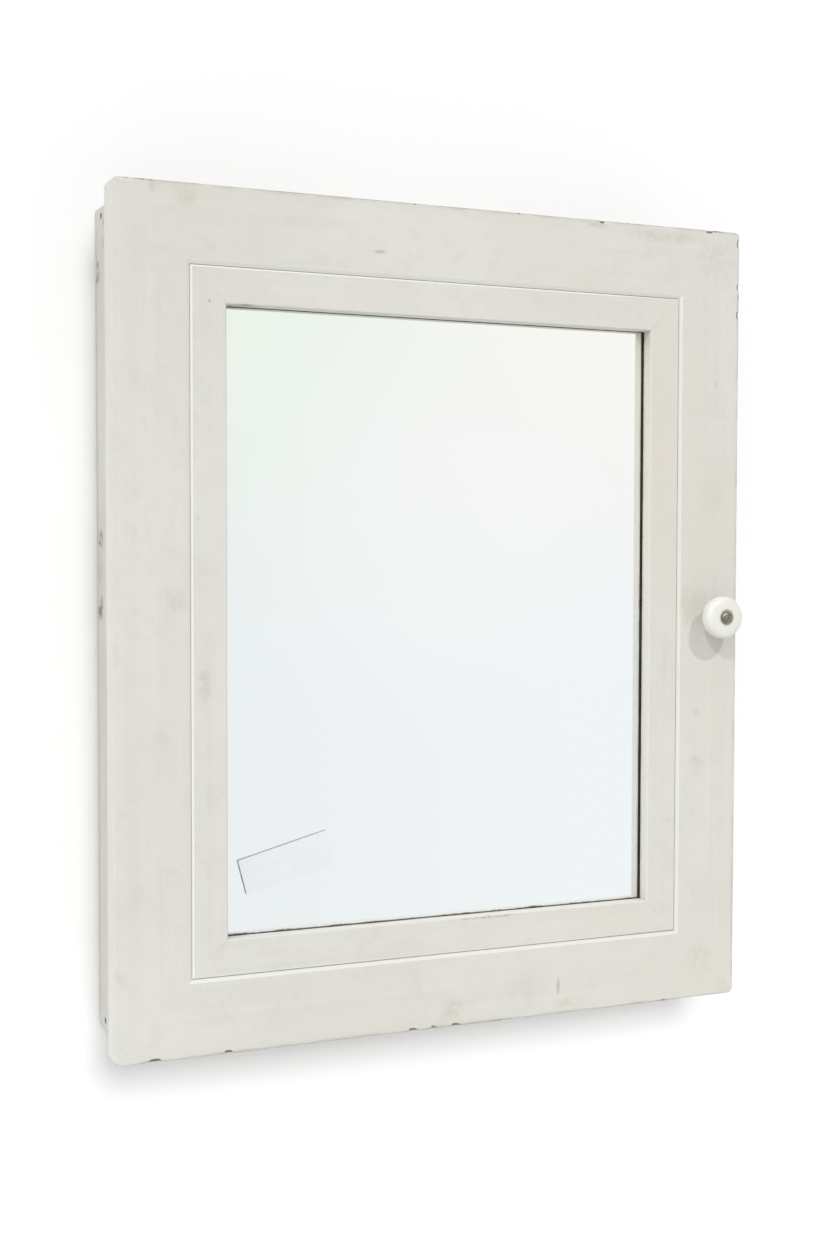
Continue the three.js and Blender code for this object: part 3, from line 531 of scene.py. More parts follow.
def add_side_marks(tree, place, colour):
    """Gouges and scrapes on the outer face of the case's left side, and a pale lump with dark beside it,
    partly chipped paint and partly its painted shadow.
    """
    parts = split(tree, place)
    turned = put(tree, "ShaderNodeCombineXYZ", None, X=parts["Y"], Y=parts["X"], Z=parts["Z"]).outputs[0]
    on_side = spread(tree, parts["X"], CASE_LOW.x + 2 * MM, CASE_LOW.x + 4 * MM, 1.0, 0.0)
    return add_marks(tree, turned, colour, CASE_MARKS, on_side)


def door_outline(tree, place, half_width, half_height):
    """Distance from one of the upright rectangles that the door is made of: negative inside it."""
    return use(
        tree, OUTLINE_DISTANCE, "Distance",
        Vector=place, Half_Width=half_width, Half_Height=half_height,
    )


def line_grime(tree, place, half_width, half_height, reach, strength):
    """Dirt gathered along an upright rectangle, such as a groove or the mirror's edge."""
    from_line = maths(tree, "ABSOLUTE", door_outline(tree, place, half_width, half_height))
    inside = spread(tree, from_line, 0.2 * reach, reach, 1.0, 0.0)
    patchy = spread(tree, noise_value(tree, place, 30.0), 0.3, 0.7, 0.35, 1.0)
    return times(tree, inside, patchy, strength)


def wear_and_chips(tree, place, colour, low, high, chip_amount):
    """Rubbed and chipped paint along the arrises of a box. Returns the colour and where wood is bare."""
    arris = use(tree, ARRIS_DISTANCE, "Distance", Vector=place, Low=low, High=high)
    off_hinge_side = spread(tree, split(tree, place)["X"], low.x + 3 * MM, low.x + 12 * MM)
    rubbed = times(tree, spread(tree, arris, 0.0, 4 * MM, 0.30, 0.0), off_hinge_side)
    rub_break = spread(tree, noise_value(tree, place, 40.0, 4.0), 0.4, 0.65)
    colour = blend_colour(tree, times(tree, rubbed, rub_break), colour, DIRT)
    thin_line = spread(tree, arris, 0.6 * MM, 1.4 * MM, 0.42, 0.0)
    worn_line = times(tree, thin_line, maths(tree, "MULTIPLY_ADD", off_hinge_side, 0.8, 0.2))
    worn_through = spread(tree, noise_value(tree, place, 55.0, 4.0, 0.65), 0.35, 0.6, 0.35, 1.0)
    colour = blend_colour(tree, times(tree, worn_line, worn_through), colour, DIRT)
    bare = bare_wood(tree, place, arris, chip_amount, off_hinge_side)
    bare_colour = blend_colour(tree, noise_value(tree, place, 300.0), BARE_DARK, BARE_LIGHT)
    return blend_colour(tree, bare, colour, bare_colour), bare


def bare_wood(tree, place, arris, chip_amount, off_hinge_side):
    """Where no paint is left: chips along the arrises, and the knocks that the mesh marks."""
    chips = use(
        tree, EDGE_CHIPS, "Mask",
        Vector=place, Distance=arris, Reach=2.8 * MM, Amount=chip_amount, Scale=110.0,
    )
    knocked = put(tree, "ShaderNodeAttribute", {"attribute_name": "knocked"}).outputs["Fac"]
    ragged = maths(tree, "MULTIPLY_ADD", noise_value(tree, place, 350.0, 4.0, 0.7), 0.8, knocked)
    return maths(tree, "MAXIMUM", times(tree, chips, off_hinge_side), spread(tree, ragged, 0.62, 0.75))


def finish_paint(tree, shader, colour, streak, bare):
    tree.links.new(colour, shader.inputs["Base Color"])
    gloss = maths(tree, "MULTIPLY_ADD", streak, 0.22, 0.36)
    rough = maths(tree, "MAXIMUM", gloss, times(tree, bare, 0.85))
    tree.links.new(rough, shader.inputs["Roughness"])
    bump(tree, shader, maths(tree, "MULTIPLY_ADD", bare, -1.6, streak), 0.12 * MM)
    shader.inputs["Specular IOR Level"].default_value = 0.4


def add_rosy_tint(tree, place, across, colour):
    """The paint has aged warmer towards the knob's side."""
    patchy = spread(tree, noise_value(tree, place, 9.0, 4.0, 0.6), 0.28, 0.78)
    rosy = times(tree, spread(tree, across, -0.15, 0.24, 0.45, 0.95), patchy)
    return blend_colour(tree, rosy, colour, DOOR_ROSY)


def add_groove_highlight(tree, place, across, colour):
    """Painted highlight: lighter paint on the groove's bevels, strongest on its inner lip away from the
    knob's side, standing in for light falling on them.
    """
    from_groove = door_outline(tree, place, GROOVE_HALF_X, GROOVE_HALF_Z)
    in_groove = times(
        tree, spread(tree, from_groove, -1.6 * MM, -1.1 * MM),
        spread(tree, from_groove, 2.3 * MM, 2.8 * MM, 1.0, 0.0),
    )
    # Painted highlight on both bevels of the groove.
    colour = blend_colour(tree, times(tree, in_groove, 0.45), colour, DOOR_PAINTED_HIGHLIGHT)
    inner_lip = times(
        tree, spread(tree, from_groove, -2.1 * MM, -1.7 * MM),
        spread(tree, from_groove, -0.3 * MM, 0.0, 1.0, 0.0),
        spread(tree, across, 0.12, 0.17, 0.9, 0.0),
    )
    # Painted highlight on the groove's inner lip, left off on the knob's side.
    return blend_colour(tree, inner_lip, colour, DOOR_PAINTED_HIGHLIGHT)


def add_grime(tree, place, depth, colour):
    """Dirt at the bottom of the groove, around the mirror and along the mitres."""
    groove = line_grime(tree, place, GROOVE_HALF_X, GROOVE_HALF_Z, 0.6 * MM, 0.04)
    sight = line_grime(tree, place, SIGHT_HALF_X, SIGHT_HALF_Z, 1.2 * MM, 0.6)
    deep = spread(tree, depth, DOOR_FRONT + 7 * MM, DOOR_FRONT + 10 * MM)
    colour = blend_colour(tree, maths(tree, "MAXIMUM", groove, times(tree, sight, deep)), colour, DIRT)
    mitre = use(
        tree, MITRE_LINE, "Mask",
        Vector=place, Half_Width=DOOR_HALF_X, Half_Height=DOOR_HALF_Z,
    )
    return blend_colour(tree, times(tree, mitre, 0.24), colour, DIRT)


def add_rebate_wood_and_shade(tree, place, parts, colour):
    """The rebate behind the mirror's lip was never painted: its bare wood is dark, which also stands as
    painted shade in the gap beside the glass; it is paler at the foot.
    """
    inside = door_outline(tree, place, SIGHT_HALF_X, SIGHT_HALF_Z)
    behind_lip = times(
        tree, spread(tree, parts["Y"], DOOR_FRONT + 9.9 * MM, DOOR_FRONT + 10.1 * MM),
        spread(tree, inside, 6.9 * MM, 7.3 * MM, 1.0, 0.0),
    )
    at_foot = spread(tree, parts["Z"], -SIGHT_HALF_Z - 1 * MM, -SIGHT_HALF_Z + 4 * MM, 1.0, 0.0)
    # Dark bare wood, which is also painted shade in the gap beside the glass.
    return blend_colour(tree, behind_lip, colour, blend_colour(tree, at_foot, BARE_DARK, BARE_LIGHT))


def door_paint(name, along):
    material, tree, shader, place = new_material(name)
    parts = split(tree, place)
    colour, streak = paint_tones(tree, place, along, DOOR_WHITE, DOOR_SHADE)
    colour = add_stains(tree, place, colour, 0.22)
    colour = add_marks(tree, place, colour, DOOR_MARKS)
    colour = add_rosy_tint(tree, place, parts["X"], colour)
    # Painted highlight on the groove's bevels.
    colour = add_groove_highlight(tree, place, parts["X"], colour)
    colour = add_grime(tree, place, parts["Y"], colour)
    colour, bare = wear_and_chips(tree, place, colour, DOOR_LOW, DOOR_HIGH, DOOR_CHIPS)
    colour = add_rebate_wood_and_shade(tree, place, parts, colour)
    finish_paint(tree, shader, colour, streak, bare)
    return material


def case_paint(name, along):
    """Older, duller paint, with painted shade next to the door, under its overhang, and darker lower down."""
    material, tree, shader, place = new_material(name)
    parts = split(tree, place)
    colour, streak = paint_tones(tree, place, along, CASE_WHITE, CASE_SHADE)
    colour = add_stains(tree, place, colour, 0.40)
    # Painted shade on the case next to the door, where the door overhangs it.
    painted_shade_by_door = spread(tree, parts["Y"], CASE_LOW.y + 4 * MM, CASE_LOW.y + 26 * MM, 0.34, 0.0)
    colour = blend_colour(tree, painted_shade_by_door, colour, DIRT)
    # Darker towards the foot of the case.
    darker_towards_foot = spread(tree, parts["Z"], -0.25, 0.05, 0.13, 0.0)
    colour = blend_colour(tree, darker_towards_foot, colour, DIRT)
    if along == ALONG_Z:
        colour = add_side_marks(tree, place, colour)
    colour, bare = wear_and_chips(tree, place, colour, CASE_LOW, CASE_HIGH, CASE_CHIPS)
    colour, raw = add_raw_back(tree, place, along, parts["Y"], colour)
    finish_paint(tree, shader, colour, streak, maths(tree, "MAXIMUM", bare, raw))
    return material


def add_raw_back(tree, place, along, depth, colour):
    """Wood that lies against the wall was never painted."""
    ragged = maths(tree, "MULTIPLY_ADD", noise_value(tree, place, 60.0, 3.0), 1.6 * MM, depth)
    raw = spread(tree, ragged, 0.1 * MM, 0.4 * MM)
    grain = noise_value(tree, stretch(tree, place, along), 1.6, 4.0, 0.6)
    return blend_colour(tree, raw, colour, blend_colour(tree, grain, PALE_TIMBER, DARK_TIMBER)), raw


def wood(name, along):
    """Unpainted timber with growth rings drawn out along the board."""
    material, tree, shader, place = new_material(name)
    grain = stretch(tree, place, along)
    rings = noise_value(tree, grain, 0.6, 3.0, 0.5, 1.2)
    pores = noise_value(tree, grain, 5.0, 4.0, 0.7)
    tone = maths(tree, "MULTIPLY_ADD", rings, 0.6, times(tree, pores, 0.4))
    tree.links.new(blend_colour(tree, tone, PALE_TIMBER, DARK_TIMBER), shader.inputs["Base Color"])
    tree.links.new(spread(tree, pores, 0.2, 0.8, 0.6, 0.85), shader.inputs["Roughness"])
    bump(tree, shader, tone, 0.15 * MM)
    return material


def hardboard_material():
    material, tree, shader, place = new_material("hardboard backing")
    fibres = noise_value(tree, place, 900.0, 3.0, 0.7)
    cloud = noise_value(tree, place, 14.0, 3.0)
    colour = blend_colour(tree, fibres, FIBRE_DARK, FIBRE_LIGHT)
    colour = blend_colour(tree, spread(tree, cloud, 0.4, 0.8, 0.0, 0.35), colour, FIBRE_DAMP)
    tree.links.new(colour, shader.inputs["Base Color"])
    tree.links.new(spread(tree, fibres, 0.2, 0.8, 0.65, 0.9), shader.inputs["Roughness"])
    bump(tree, shader, fibres, 0.1 * MM)
    return material


def painted_reflection_tones(tree, place, parts):
    """Painted reflection on the silvering: greenish and cream above, bluish below, with a pale painted glare
    near the middle.
    """
    rise = spread(tree, parts["Z"], -0.3 * SIGHT_HALF_Z, SIGHT_HALF_Z)
    sideways = spread(tree, parts["X"], -SIGHT_HALF_X, 0.8 * SIGHT_HALF_X)
    upper = blend_colour(tree, sideways, REFLECTED_GREEN, REFLECTED_CREAM)
    lower = blend_colour(tree, sideways, REFLECTED_BLUE, REFLECTED_COOL)
    palest = (10 * MM, DOOR_FRONT, 70 * MM)
    from_palest = vector_maths(tree, "DISTANCE", place, palest, "Value")
    pale = spread(tree, from_palest, 40 * MM, 190 * MM, 0.6, 0.0)
    return blend_colour(tree, pale, blend_colour(tree, rise, lower, upper), REFLECTED_GLARE)


def mirror_material():
    """Silvered glass that has tarnished along its edges, most at the foot."""
    material, tree, shader, place = new_material("old silvering")
    shader.inputs["Metallic"].default_value = 1.0
    parts = split(tree, place)
    edge = door_outline(tree, place, SIGHT_HALF_X, SIGHT_HALF_Z)
    ragged = maths(tree, "MULTIPLY_ADD", noise_value(tree, place, 45.0, 5.0, 0.7), 6 * MM, -4.5 * MM)
    foot = spread(tree, parts["Z"], -SIGHT_HALF_Z, -SIGHT_HALF_Z + 12 * MM, 1.8 * MM, 0.0)
    reach = maths(tree, "ADD", maths(tree, "ADD", edge, ragged), foot)
    tarnish = spread(tree, reach, -1.0 * MM, 0.6 * MM)
    # The silvering's colour carries a painted reflection.
    colour = blend_colour(tree, tarnish, painted_reflection_tones(tree, place, parts), SILVER_GONE)
    tree.links.new(colour, shader.inputs["Base Color"])
    haze = spread(tree, noise_value(tree, place, 120.0, 4.0, 0.7), 0.5, 0.9, 0.015, 0.05)
    rough = maths(tree, "MAXIMUM", haze, times(tree, tarnish, 0.5))
    tree.links.new(rough, shader.inputs["Roughness"])
    return material


def porcelain_material():
    material, tree, shader, place = new_material("white porcelain")
    cloud = noise_value(tree, place, 60.0, 3.0)
    colour = blend_colour(tree, cloud, GLAZE_WHITE, GLAZE_CREAM)
    specks = use(tree, STAINS, "Mask", Vector=place, Scale=420.0, Threshold=0.72, Softness=0.05)
    colour = blend_colour(tree, times(tree, specks, 0.35), colour, GLAZE_SPECK)
    tree.links.new(colour, shader.inputs["Base Color"])
    tree.links.new(spread(tree, cloud, 0.3, 0.8, 0.24, 0.36), shader.inputs["Roughness"])
    shader.inputs["Coat Weight"].default_value = 0.3
    shader.inputs["Coat Roughness"].default_value = 0.2
    bump(tree, shader, noise_value(tree, place, 160.0, 2.0), 0.05 * MM)
    return material


def metal(name, light, dark, patina, rough, scale):
    """Dull metal with blotches of tarnish. The scale sets how fine the blotches are."""
    material, tree, shader, place = new_material(name)
    shader.inputs["Metallic"].default_value = 1.0
    mottled = noise_value(tree, place, scale, 5.0, 0.65, 0.3)
    colour = blend_colour(tree, spread(tree, mottled, 0.35, 0.65), light, dark)
    spots = use(tree, STAINS, "Mask", Vector=place, Scale=0.5 * scale, Threshold=0.58, Softness=0.1)
    colour = blend_colour(tree, times(tree, spots, 0.7), colour, patina)
    tree.links.new(colour, shader.inputs["Base Color"])
    tree.links.new(spread(tree, mottled, 0.3, 0.7, rough, rough + 0.25), shader.inputs["Roughness"])
    bump(tree, shader, mottled, 0.04 * MM)
    return material


def plastic_material():
    material, tree, shader, place = new_material("brown plastic")
    grain = noise_value(tree, place, 1500.0, 2.0)
    cloud = noise_value(tree, place, 80.0, 3.0)
    colour = blend_colour(tree, cloud, PLASTIC_DARK, PLASTIC_LIGHT)
    tree.links.new(colour, shader.inputs["Base Color"])
    tree.links.new(spread(tree, grain, 0.3, 0.7, 0.4, 0.6), shader.inputs["Roughness"])
    bump(tree, shader, grain, 0.03 * MM)
    return material


def paper_material():
    material, tree, shader, place = new_material("label paper")
    fibres = noise_value(tree, place, 1400.0, 3.0, 0.7)
    cloud = noise_value(tree, place, 50.0, 3.0)
    colour = blend_colour(tree, fibres, PAPER_SHADE, PAPER_WHITE)
    colour = blend_colour(tree, spread(tree, cloud, 0.4, 0.8, 0.0, 0.3), colour, PAPER_HANDLED)
    tree.links.new(colour, shader.inputs["Base Color"])
    tree.links.new(spread(tree, fibres, 0.2, 0.8, 0.6, 0.85), shader.inputs["Roughness"])
    bump(tree, shader, maths(tree, "MULTIPLY_ADD", cloud, 3.0, fibres), 0.06 * MM)
    return material


def wall_material():
    """Matt white wall that lets the cabinet be seen from behind."""
    material, tree, shader, _ = new_material("wall")
    shader.inputs["Base Color"].default_value = WALL_WHITE
    shader.inputs["Roughness"].default_value = 0.9
    shader.inputs["Specular IOR Level"].default_value = 0.0
    behind = tree.nodes.new("ShaderNodeNewGeometry").outputs["Backfacing"]
    clear = tree.nodes.new("ShaderNodeBsdfTransparent").outputs[0]
    mix = put(tree, "ShaderNodeMixShader", None, i0=behind, i1=shader.outputs[0], i2=clear)
    tree.links.new(mix.outputs[0], tree.nodes["Material Output"].inputs["Surface"])
    return material


def floor_material():
    material, _, shader, _ = new_material("floor")
    shader.inputs["Base Color"].default_value = FLOOR_WHITE
    shader.inputs["Roughness"].default_value = 0.8
    return material


# Each metal: its name, light, dark and patina colours, roughness and how fine its blotches are.
METALS = {
    "bronze": (
        "aged bronze", (0.300, 0.270, 0.215, 1), (0.150, 0.125, 0.090, 1), (0.050, 0.040, 0.030, 1),
        0.22, 420.0,
    ),
    "brass": (
        "dull brass", (0.480, 0.330, 0.130, 1), (0.300, 0.200, 0.085, 1), (0.130, 0.100, 0.060, 1),
        0.30, 260.0,
    ),
    "steel": (
        "zinc plated steel", (0.460, 0.460, 0.450, 1), (0.330, 0.330, 0.330, 1), (0.220, 0.200, 0.180, 1),
        0.30, 300.0,
    ),
    "iron": (
        "old iron", (0.120, 0.100, 0.085, 1), (0.070, 0.055, 0.045, 1), (0.170, 0.075, 0.030, 1),
        0.50, 500.0,
    ),
}
FINISHES = {
    "door upright": door_paint("door paint upright", ALONG_Z),
    "door level": door_paint("door paint level", ALONG_X),
    "case upright": case_paint("case paint upright", ALONG_Z),
    "case level": case_paint("case paint level", ALONG_X),
    "wood upright": wood("pine upright", GRAIN_Z),
    "wood level": wood("pine level", GRAIN_X),
    "hardboard": hardboard_material(),
    "mirror": mirror_material(),
    "porcelain": porcelain_material(),
    "plastic": plastic_material(),
    "paper": paper_material(),
    **{look: metal(*values) for look, values in METALS.items()},
}


# ------------------------------------------------------------------ mesh helpers

MERGE_DISTANCE = 0.005 * MM
FLAT_ANGLE = math.radians(1.0)


def cad_copy(node):
    """A merged copy of a CAD node's mesh, with its flat faces made whole."""
    bm = bmesh.new()
    bm.from_mesh(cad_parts[node].data)
    bmesh.ops.remove_doubles(bm, verts=bm.verts, dist=MERGE_DISTANCE)
    bmesh.ops.dissolve_limit(
        bm, angle_limit=FLAT_ANGLE, use_dissolve_boundaries=False,
        verts=bm.verts, edges=bm.edges,
    )
    return bm


def finish_piece(bm, name, body, look, stands_for, smooth_angle=40.0):
    """Turns a bmesh into a piece of the object."""
    limit = math.radians(smooth_angle)
    for face in bm.faces:
        face.smooth = True
    for edge in bm.edges:
        edge.smooth = len(edge.link_faces) == 2 and edge.calc_face_angle(0.0) < limit
    mesh = bpy.data.meshes.new(name)
    bm.to_mesh(mesh)
    bm.free()
    mesh.materials.append(FINISHES[look])
    piece = bpy.data.objects.new(name, mesh)
    bpy.context.scene.collection.objects.link(piece)
    shading = piece.modifiers.new("weighted normals", "WEIGHTED_NORMAL")
    shading.keep_sharp = True
    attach(piece, body)
    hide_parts(*stands_for)
    return piece


def bevel_edges(bm, edges, width, segments=3):
    bmesh.ops.bevel(
        bm, geom=edges, offset=width, offset_type="OFFSET", segments=segments, profile=0.5,
        affect="EDGES", material=-1, clamp_overlap=True,
    )


def slice_plane(bm, place, normal, snap):
    geometry = list(bm.verts) + list(bm.edges) + list(bm.faces)
    bmesh.ops.bisect_plane(bm, geom=geometry, dist=snap, plane_co=place, plane_no=normal)


def slice_mesh(bm, axis, places):
    """Cuts every face by planes across an axis, so that the long edges get vertices there."""
    normal = Vector([1.0 if i == axis else 0.0 for i in range(3)])
    for place in places:
        slice_plane(bm, normal * place, normal, SLICE_SNAP)


def slice_arris(bm, low, high):
    """Adds a row of vertices a little way in from each arris of a box, where the wear ends."""
    for axis in range(3):
        slice_mesh(bm, axis, (low[axis] + WEAR_ENDS, high[axis] - WEAR_ENDS))


def steps(low, high, pitch):
    """Evenly spaced places between two ends."""
    count = max(1, round((high - low) / pitch))
    return [low + (high - low) * (index + 0.5) / count for index in range(count)]


# Cuts at these distances (mm) from a board's end and from a knock give the wear something to bend.
CORNER_STEPS = (0.3, 0.8, 1.5, 2.4, 3.4, 4.6)
KNOCK_STEPS = (-4.0, -2.4, -1.0, 0.3, 1.6, 3.0, 4.6)
SLICE_SNAP = 1e-7
SQUARE_ANGLE = math.radians(60)
OUTWARD_ANGLE = math.radians(15)
STRAIGHT = 0.999
EDGE_REACH = 1.6 * MM
WEAR_ENDS = 2.8 * MM
WEAR_PITCH = 6 * MM


def wear_edges(bm, low, high, depth, knocks):
    """Rubs down the arrises of a box, and bites a piece out of them at each knock."""
    layer = bm.verts.layers.float.new("knocked")
    for vert in bm.verts:
        inward = Vector((0, 0, 0))
        for axis in range(3):
            to_low = vert.co[axis] - low[axis]
            to_high = high[axis] - vert.co[axis]
            if min(to_low, to_high) < EDGE_REACH:
                inward[axis] = 1 if to_low < to_high else -1
        if inward.length < 1.2:
            continue
        rough = 0.6 * noise.noise(vert.co * 60) + 0.4 * noise.noise(vert.co * 240)
        push = depth * max(0.0, 0.35 + rough)
        for across, up, radius, bite in knocks:
            away = math.hypot(vert.co.x - across * MM, vert.co.z - up * MM) / (radius * MM)
            if away < 1:
                push += bite * MM * (1 - away * away)
                vert[layer] = max(vert[layer], 1 - away * away)
        vert.co += inward * push


def round_corners(bm, half_x, half_z, radius):
    """Rounds the four corners of an upright rectangle of boards."""
    for vert in bm.verts:
        across = abs(vert.co.x) - (half_x - radius)
        up = abs(vert.co.z) - (half_z - radius)
        away = math.hypot(across, up)
        if across > 0 and up > 0 and away > radius:
            vert.co.x = math.copysign(half_x - radius + across * radius / away, vert.co.x)
            vert.co.z = math.copysign(half_z - radius + up * radius / away, vert.co.z)


def near_corners(half):
    """Cutting places close to both ends of a board."""
    return [sign * (half - step * MM) for sign in (-1, 1) for step in CORNER_STEPS]


def near_knocks(knocks, side):
    """Cutting places around the knocks on one side of the door."""
    rows = []
    for across, up, _, _ in knocks:
        on_side = {"left": across < -253, "right": across > 253, "top": up > 304, "bottom": up < -304}
        if on_side[side]:
            middle = up if is_upright(side) else across
            rows += [(middle + step) * MM for step in KNOCK_STEPS]
    return rows


def sharp_edges(bm, shortest):
    """The edges where two faces meet squarely, except the short ones."""
    return [
        edge for edge in bm.edges
        if len(edge.link_faces) == 2 and edge.calc_face_angle(0.0) > SQUARE_ANGLE
        and edge.calc_length() > shortest
    ]


def lengthwise_edges(bm, axis, shortest, front_only=None):
    """The long edges that run along an axis, except where a face turns inwards."""
    found = []
    for edge in bm.edges:
        run = edge.verts[1].co - edge.verts[0].co
        if len(edge.link_faces) != 2 or run.length < shortest:
            continue
        if abs(run[axis]) < STRAIGHT * run.length or edge.calc_face_angle_signed(0.0) < OUTWARD_ANGLE:
            continue
        if front_only is None or edge.verts[0].co.y < front_only:
            found.append(edge)
    return found


# ------------------------------------------------------------------ door

MITRE_GAP = -0.01 * MM
SEAM_HALF = 0.16 * MM
GROOVE_DEPTH = 1.5 * MM
NEAR_GROOVE = 0.4 * MM
NEAR_MITRE = 0.3 * MM
FRONT_ZONE = DOOR_FRONT + 5 * MM
BOARD_EASE = 0.4 * MM
CORNER_RADIUS = 5.0 * MM
DOOR_RUB = 0.12 * MM
LONG_EDGE = 100 * MM
OUTER_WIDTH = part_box("outer_frame_left")[1].x - DOOR_LOW.x
# Knocks on the arrises: place across and up, radius and depth of the bite, all in mm.
DOOR_KNOCKS = (
    (128.0, 305.0, 3.0, 0.35),
    (226.0, 305.0, 4.0, 0.4),
    (254.0, 296.0, 4.0, 0.5),
    (254.0, 262.0, 3.0, 0.5),
    (254.0, 240.0, 3.4, 0.5),
    (-225.5, -305.0, 5.0, 1.4),
    (-172.0, -305.0, 3.4, 1.3),
    (-29.0, -305.0, 4.0, 0.5),
    (-12.0, -305.0, 2.5, 0.4),
    (6.0, -305.0, 4.0, 0.4),
)


def is_upright(side):
    return side in ("left", "right")


def close_joints(bm, layer, side):
    """Brings a board up to its neighbours, so that the paint bridges the groove's seam and the mitres."""
    along, across = (2, 0) if is_upright(side) else (0, 2)
    half_along = DOOR_HALF_Z if is_upright(side) else DOOR_HALF_X
    half_across = DOOR_HALF_X if is_upright(side) else DOOR_HALF_Z
    for vert in bm.verts:
        from_edge = half_across - abs(vert.co[across])
        from_mitre = half_along - from_edge - abs(vert.co[along])
        grow = SEAM_HALF if layer == "outer" else -SEAM_HALF
        if abs(from_edge - OUTER_WIDTH) < NEAR_GROOVE:
            vert.co[across] -= math.copysign(grow, vert.co[across])
            from_edge += grow
            if vert.co.y < FRONT_ZONE:
                vert.co.y = DOOR_FRONT + GROOVE_DEPTH
        if abs(from_mitre) < NEAR_MITRE:
            vert.co[along] = math.copysign(half_along - from_edge - MITRE_GAP, vert.co[along])


def in_groove_foot(edge, side):
    """Whether an edge lies at the bottom of the groove, where the two layers of the frame meet."""
    across, half_across = (0, DOOR_HALF_X) if is_upright(side) else (2, DOOR_HALF_Z)
    from_edge = half_across - abs(edge.verts[0].co[across])
    return abs(from_edge - OUTER_WIDTH) < NEAR_GROOVE


def make_door_board(layer, side):
    node = f"{layer}_frame_{side}"
    axis = 2 if is_upright(side) else 0
    half = DOOR_HALF_Z if is_upright(side) else DOOR_HALF_X
    bm = cad_copy(node)
    close_joints(bm, layer, side)
    long_edges = lengthwise_edges(bm, axis, LONG_EDGE, FRONT_ZONE)
    bevel_edges(bm, [edge for edge in long_edges if not in_groove_foot(edge, side)], BOARD_EASE, 2)
    if layer == "outer":
        cuts = steps(-half, half, WEAR_PITCH) + near_corners(half) + near_knocks(DOOR_KNOCKS, side)
        slice_mesh(bm, axis, sorted(cuts))
        slice_arris(bm, DOOR_LOW, DOOR_HIGH)
        round_corners(bm, DOOR_HALF_X, DOOR_HALF_Z, CORNER_RADIUS)
        wear_edges(bm, DOOR_LOW, DOOR_HIGH, DOOR_RUB, DOOR_KNOCKS)
    look = "door upright" if is_upright(side) else "door level"
    finish_piece(bm, f"{layer}_board_{side}", "door", look, [node])


def make_door():
    for side in SIDES:
        make_door_board("outer", side)
        make_door_board("inner", side)
        make_bead(side)


def make_bead(side):
    node = f"mirror_bead_{side}"
    axis = 2 if is_upright(side) else 0
    bm = cad_copy(node)
    bevel_edges(bm, lengthwise_edges(bm, axis, LONG_EDGE), 0.7 * MM, 3)
    look = "wood upright" if is_upright(side) else "wood level"
    finish_piece(bm, f"bead_{side}", "door", look, [node])


def make_mirror():
    """The silvering lies behind the glass, so the face that reflects is set back from the plate's front."""
    low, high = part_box("mirror_plate")
    silver_depth = 1.7 * MM
    bm = cad_copy("mirror_plate")
    for vert in bm.verts:
        if vert.co.y < (low.y + high.y) / 2:
            vert.co.y += silver_depth
    bevel_edges(bm, list(bm.edges), 0.3 * MM, 2)
    finish_piece(bm, "mirror_glass", "door", "mirror", ["mirror_plate"])

    bm = cad_copy("mirror_backing")
    bevel_edges(bm, list(bm.edges), 0.4 * MM, 2)
    finish_piece(bm, "backing_board", "door", "hardboard", ["mirror_backing"])


LABEL_LENGTH = 70 * MM
LABEL_HEIGHT = 26 * MM
LABEL_TURN = math.radians(14.8)
LABEL_THICKNESS = 0.12 * MM
GLUE_DEPTH = 0.25 * MM
COCKLE = 0.03 * MM


def make_label():
    """A blank paper label, a little lifted at its left end and along its top."""
    low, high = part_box("price_label")
    bm = bmesh.new()
    bmesh.ops.create_grid(bm, x_segments=34, y_segments=14, size=0.5)
    bmesh.ops.scale(bm, vec=(LABEL_LENGTH, LABEL_HEIGHT, 1), verts=bm.verts)
    for vert in bm.verts:
        across, up = vert.co.x / LABEL_LENGTH, vert.co.y / LABEL_HEIGHT
        fold = max(0.0, -0.38 - across) * 1.2 * MM
        lift = max(0.0, up - 0.3) ** 2 * 1.6 * MM * (0.6 - 0.8 * across)
        vert.co.z = -GLUE_DEPTH + fold + lift + COCKLE * noise.noise(vert.co * 90)
    stand = Matrix.Rotation(math.radians(90), 4, "X")
    middle = Vector(((low.x + high.x) / 2, high.y, (low.z + high.z) / 2))
    place = Matrix.Translation(middle) @ Matrix.Rotation(-LABEL_TURN, 4, "Y") @ stand
    bmesh.ops.transform(bm, matrix=place, verts=bm.verts)
    piece = finish_piece(bm, "paper_label", "door", "paper", ["price_label"])
    thick = piece.modifiers.new("thickness", "SOLIDIFY")
    thick.thickness = LABEL_THICKNESS
    thick.offset = 1.0


# ------------------------------------------------------------------ turned parts

POLE_MERGE = 0.002 * MM


def turned_mesh(profile, foot, axis, segments):
    """A shape of revolution. The profile is (radius, distance along the axis), from one end to the other."""
    axis = Vector(axis).normalized()
    sideways = Vector((0, 0, 1)) if abs(axis.z) < 0.9 else Vector((1, 0, 0))
    bm = bmesh.new()
    chain = [bm.verts.new(foot + sideways * radius + axis * distance) for radius, distance in profile]
    edges = [bm.edges.new(pair) for pair in zip(chain, chain[1:])]
    bmesh.ops.spin(
        bm, geom=chain + edges, cent=foot, axis=axis, angle=2 * math.pi, steps=segments, use_merge=True,
    )
    bmesh.ops.remove_doubles(bm, verts=bm.verts, dist=POLE_MERGE)
    bmesh.ops.recalc_face_normals(bm, faces=bm.faces)
    return bm


def curve_points(points, count):
    """Points along a curve through four control points, given as (radius, distance)."""
    corners = [Vector((radius, distance, 0)) for radius, distance in points]
    return [(point.x, point.y) for point in interpolate_bezier(*corners, count)]


BORE_RADIUS = 2.3 * MM
NECK_RADIUS = 7.5 * MM
DISH_RADIUS = 6.6 * MM
DISH_DEPTH = 1.2 * MM
CURVE_STEPS = 18


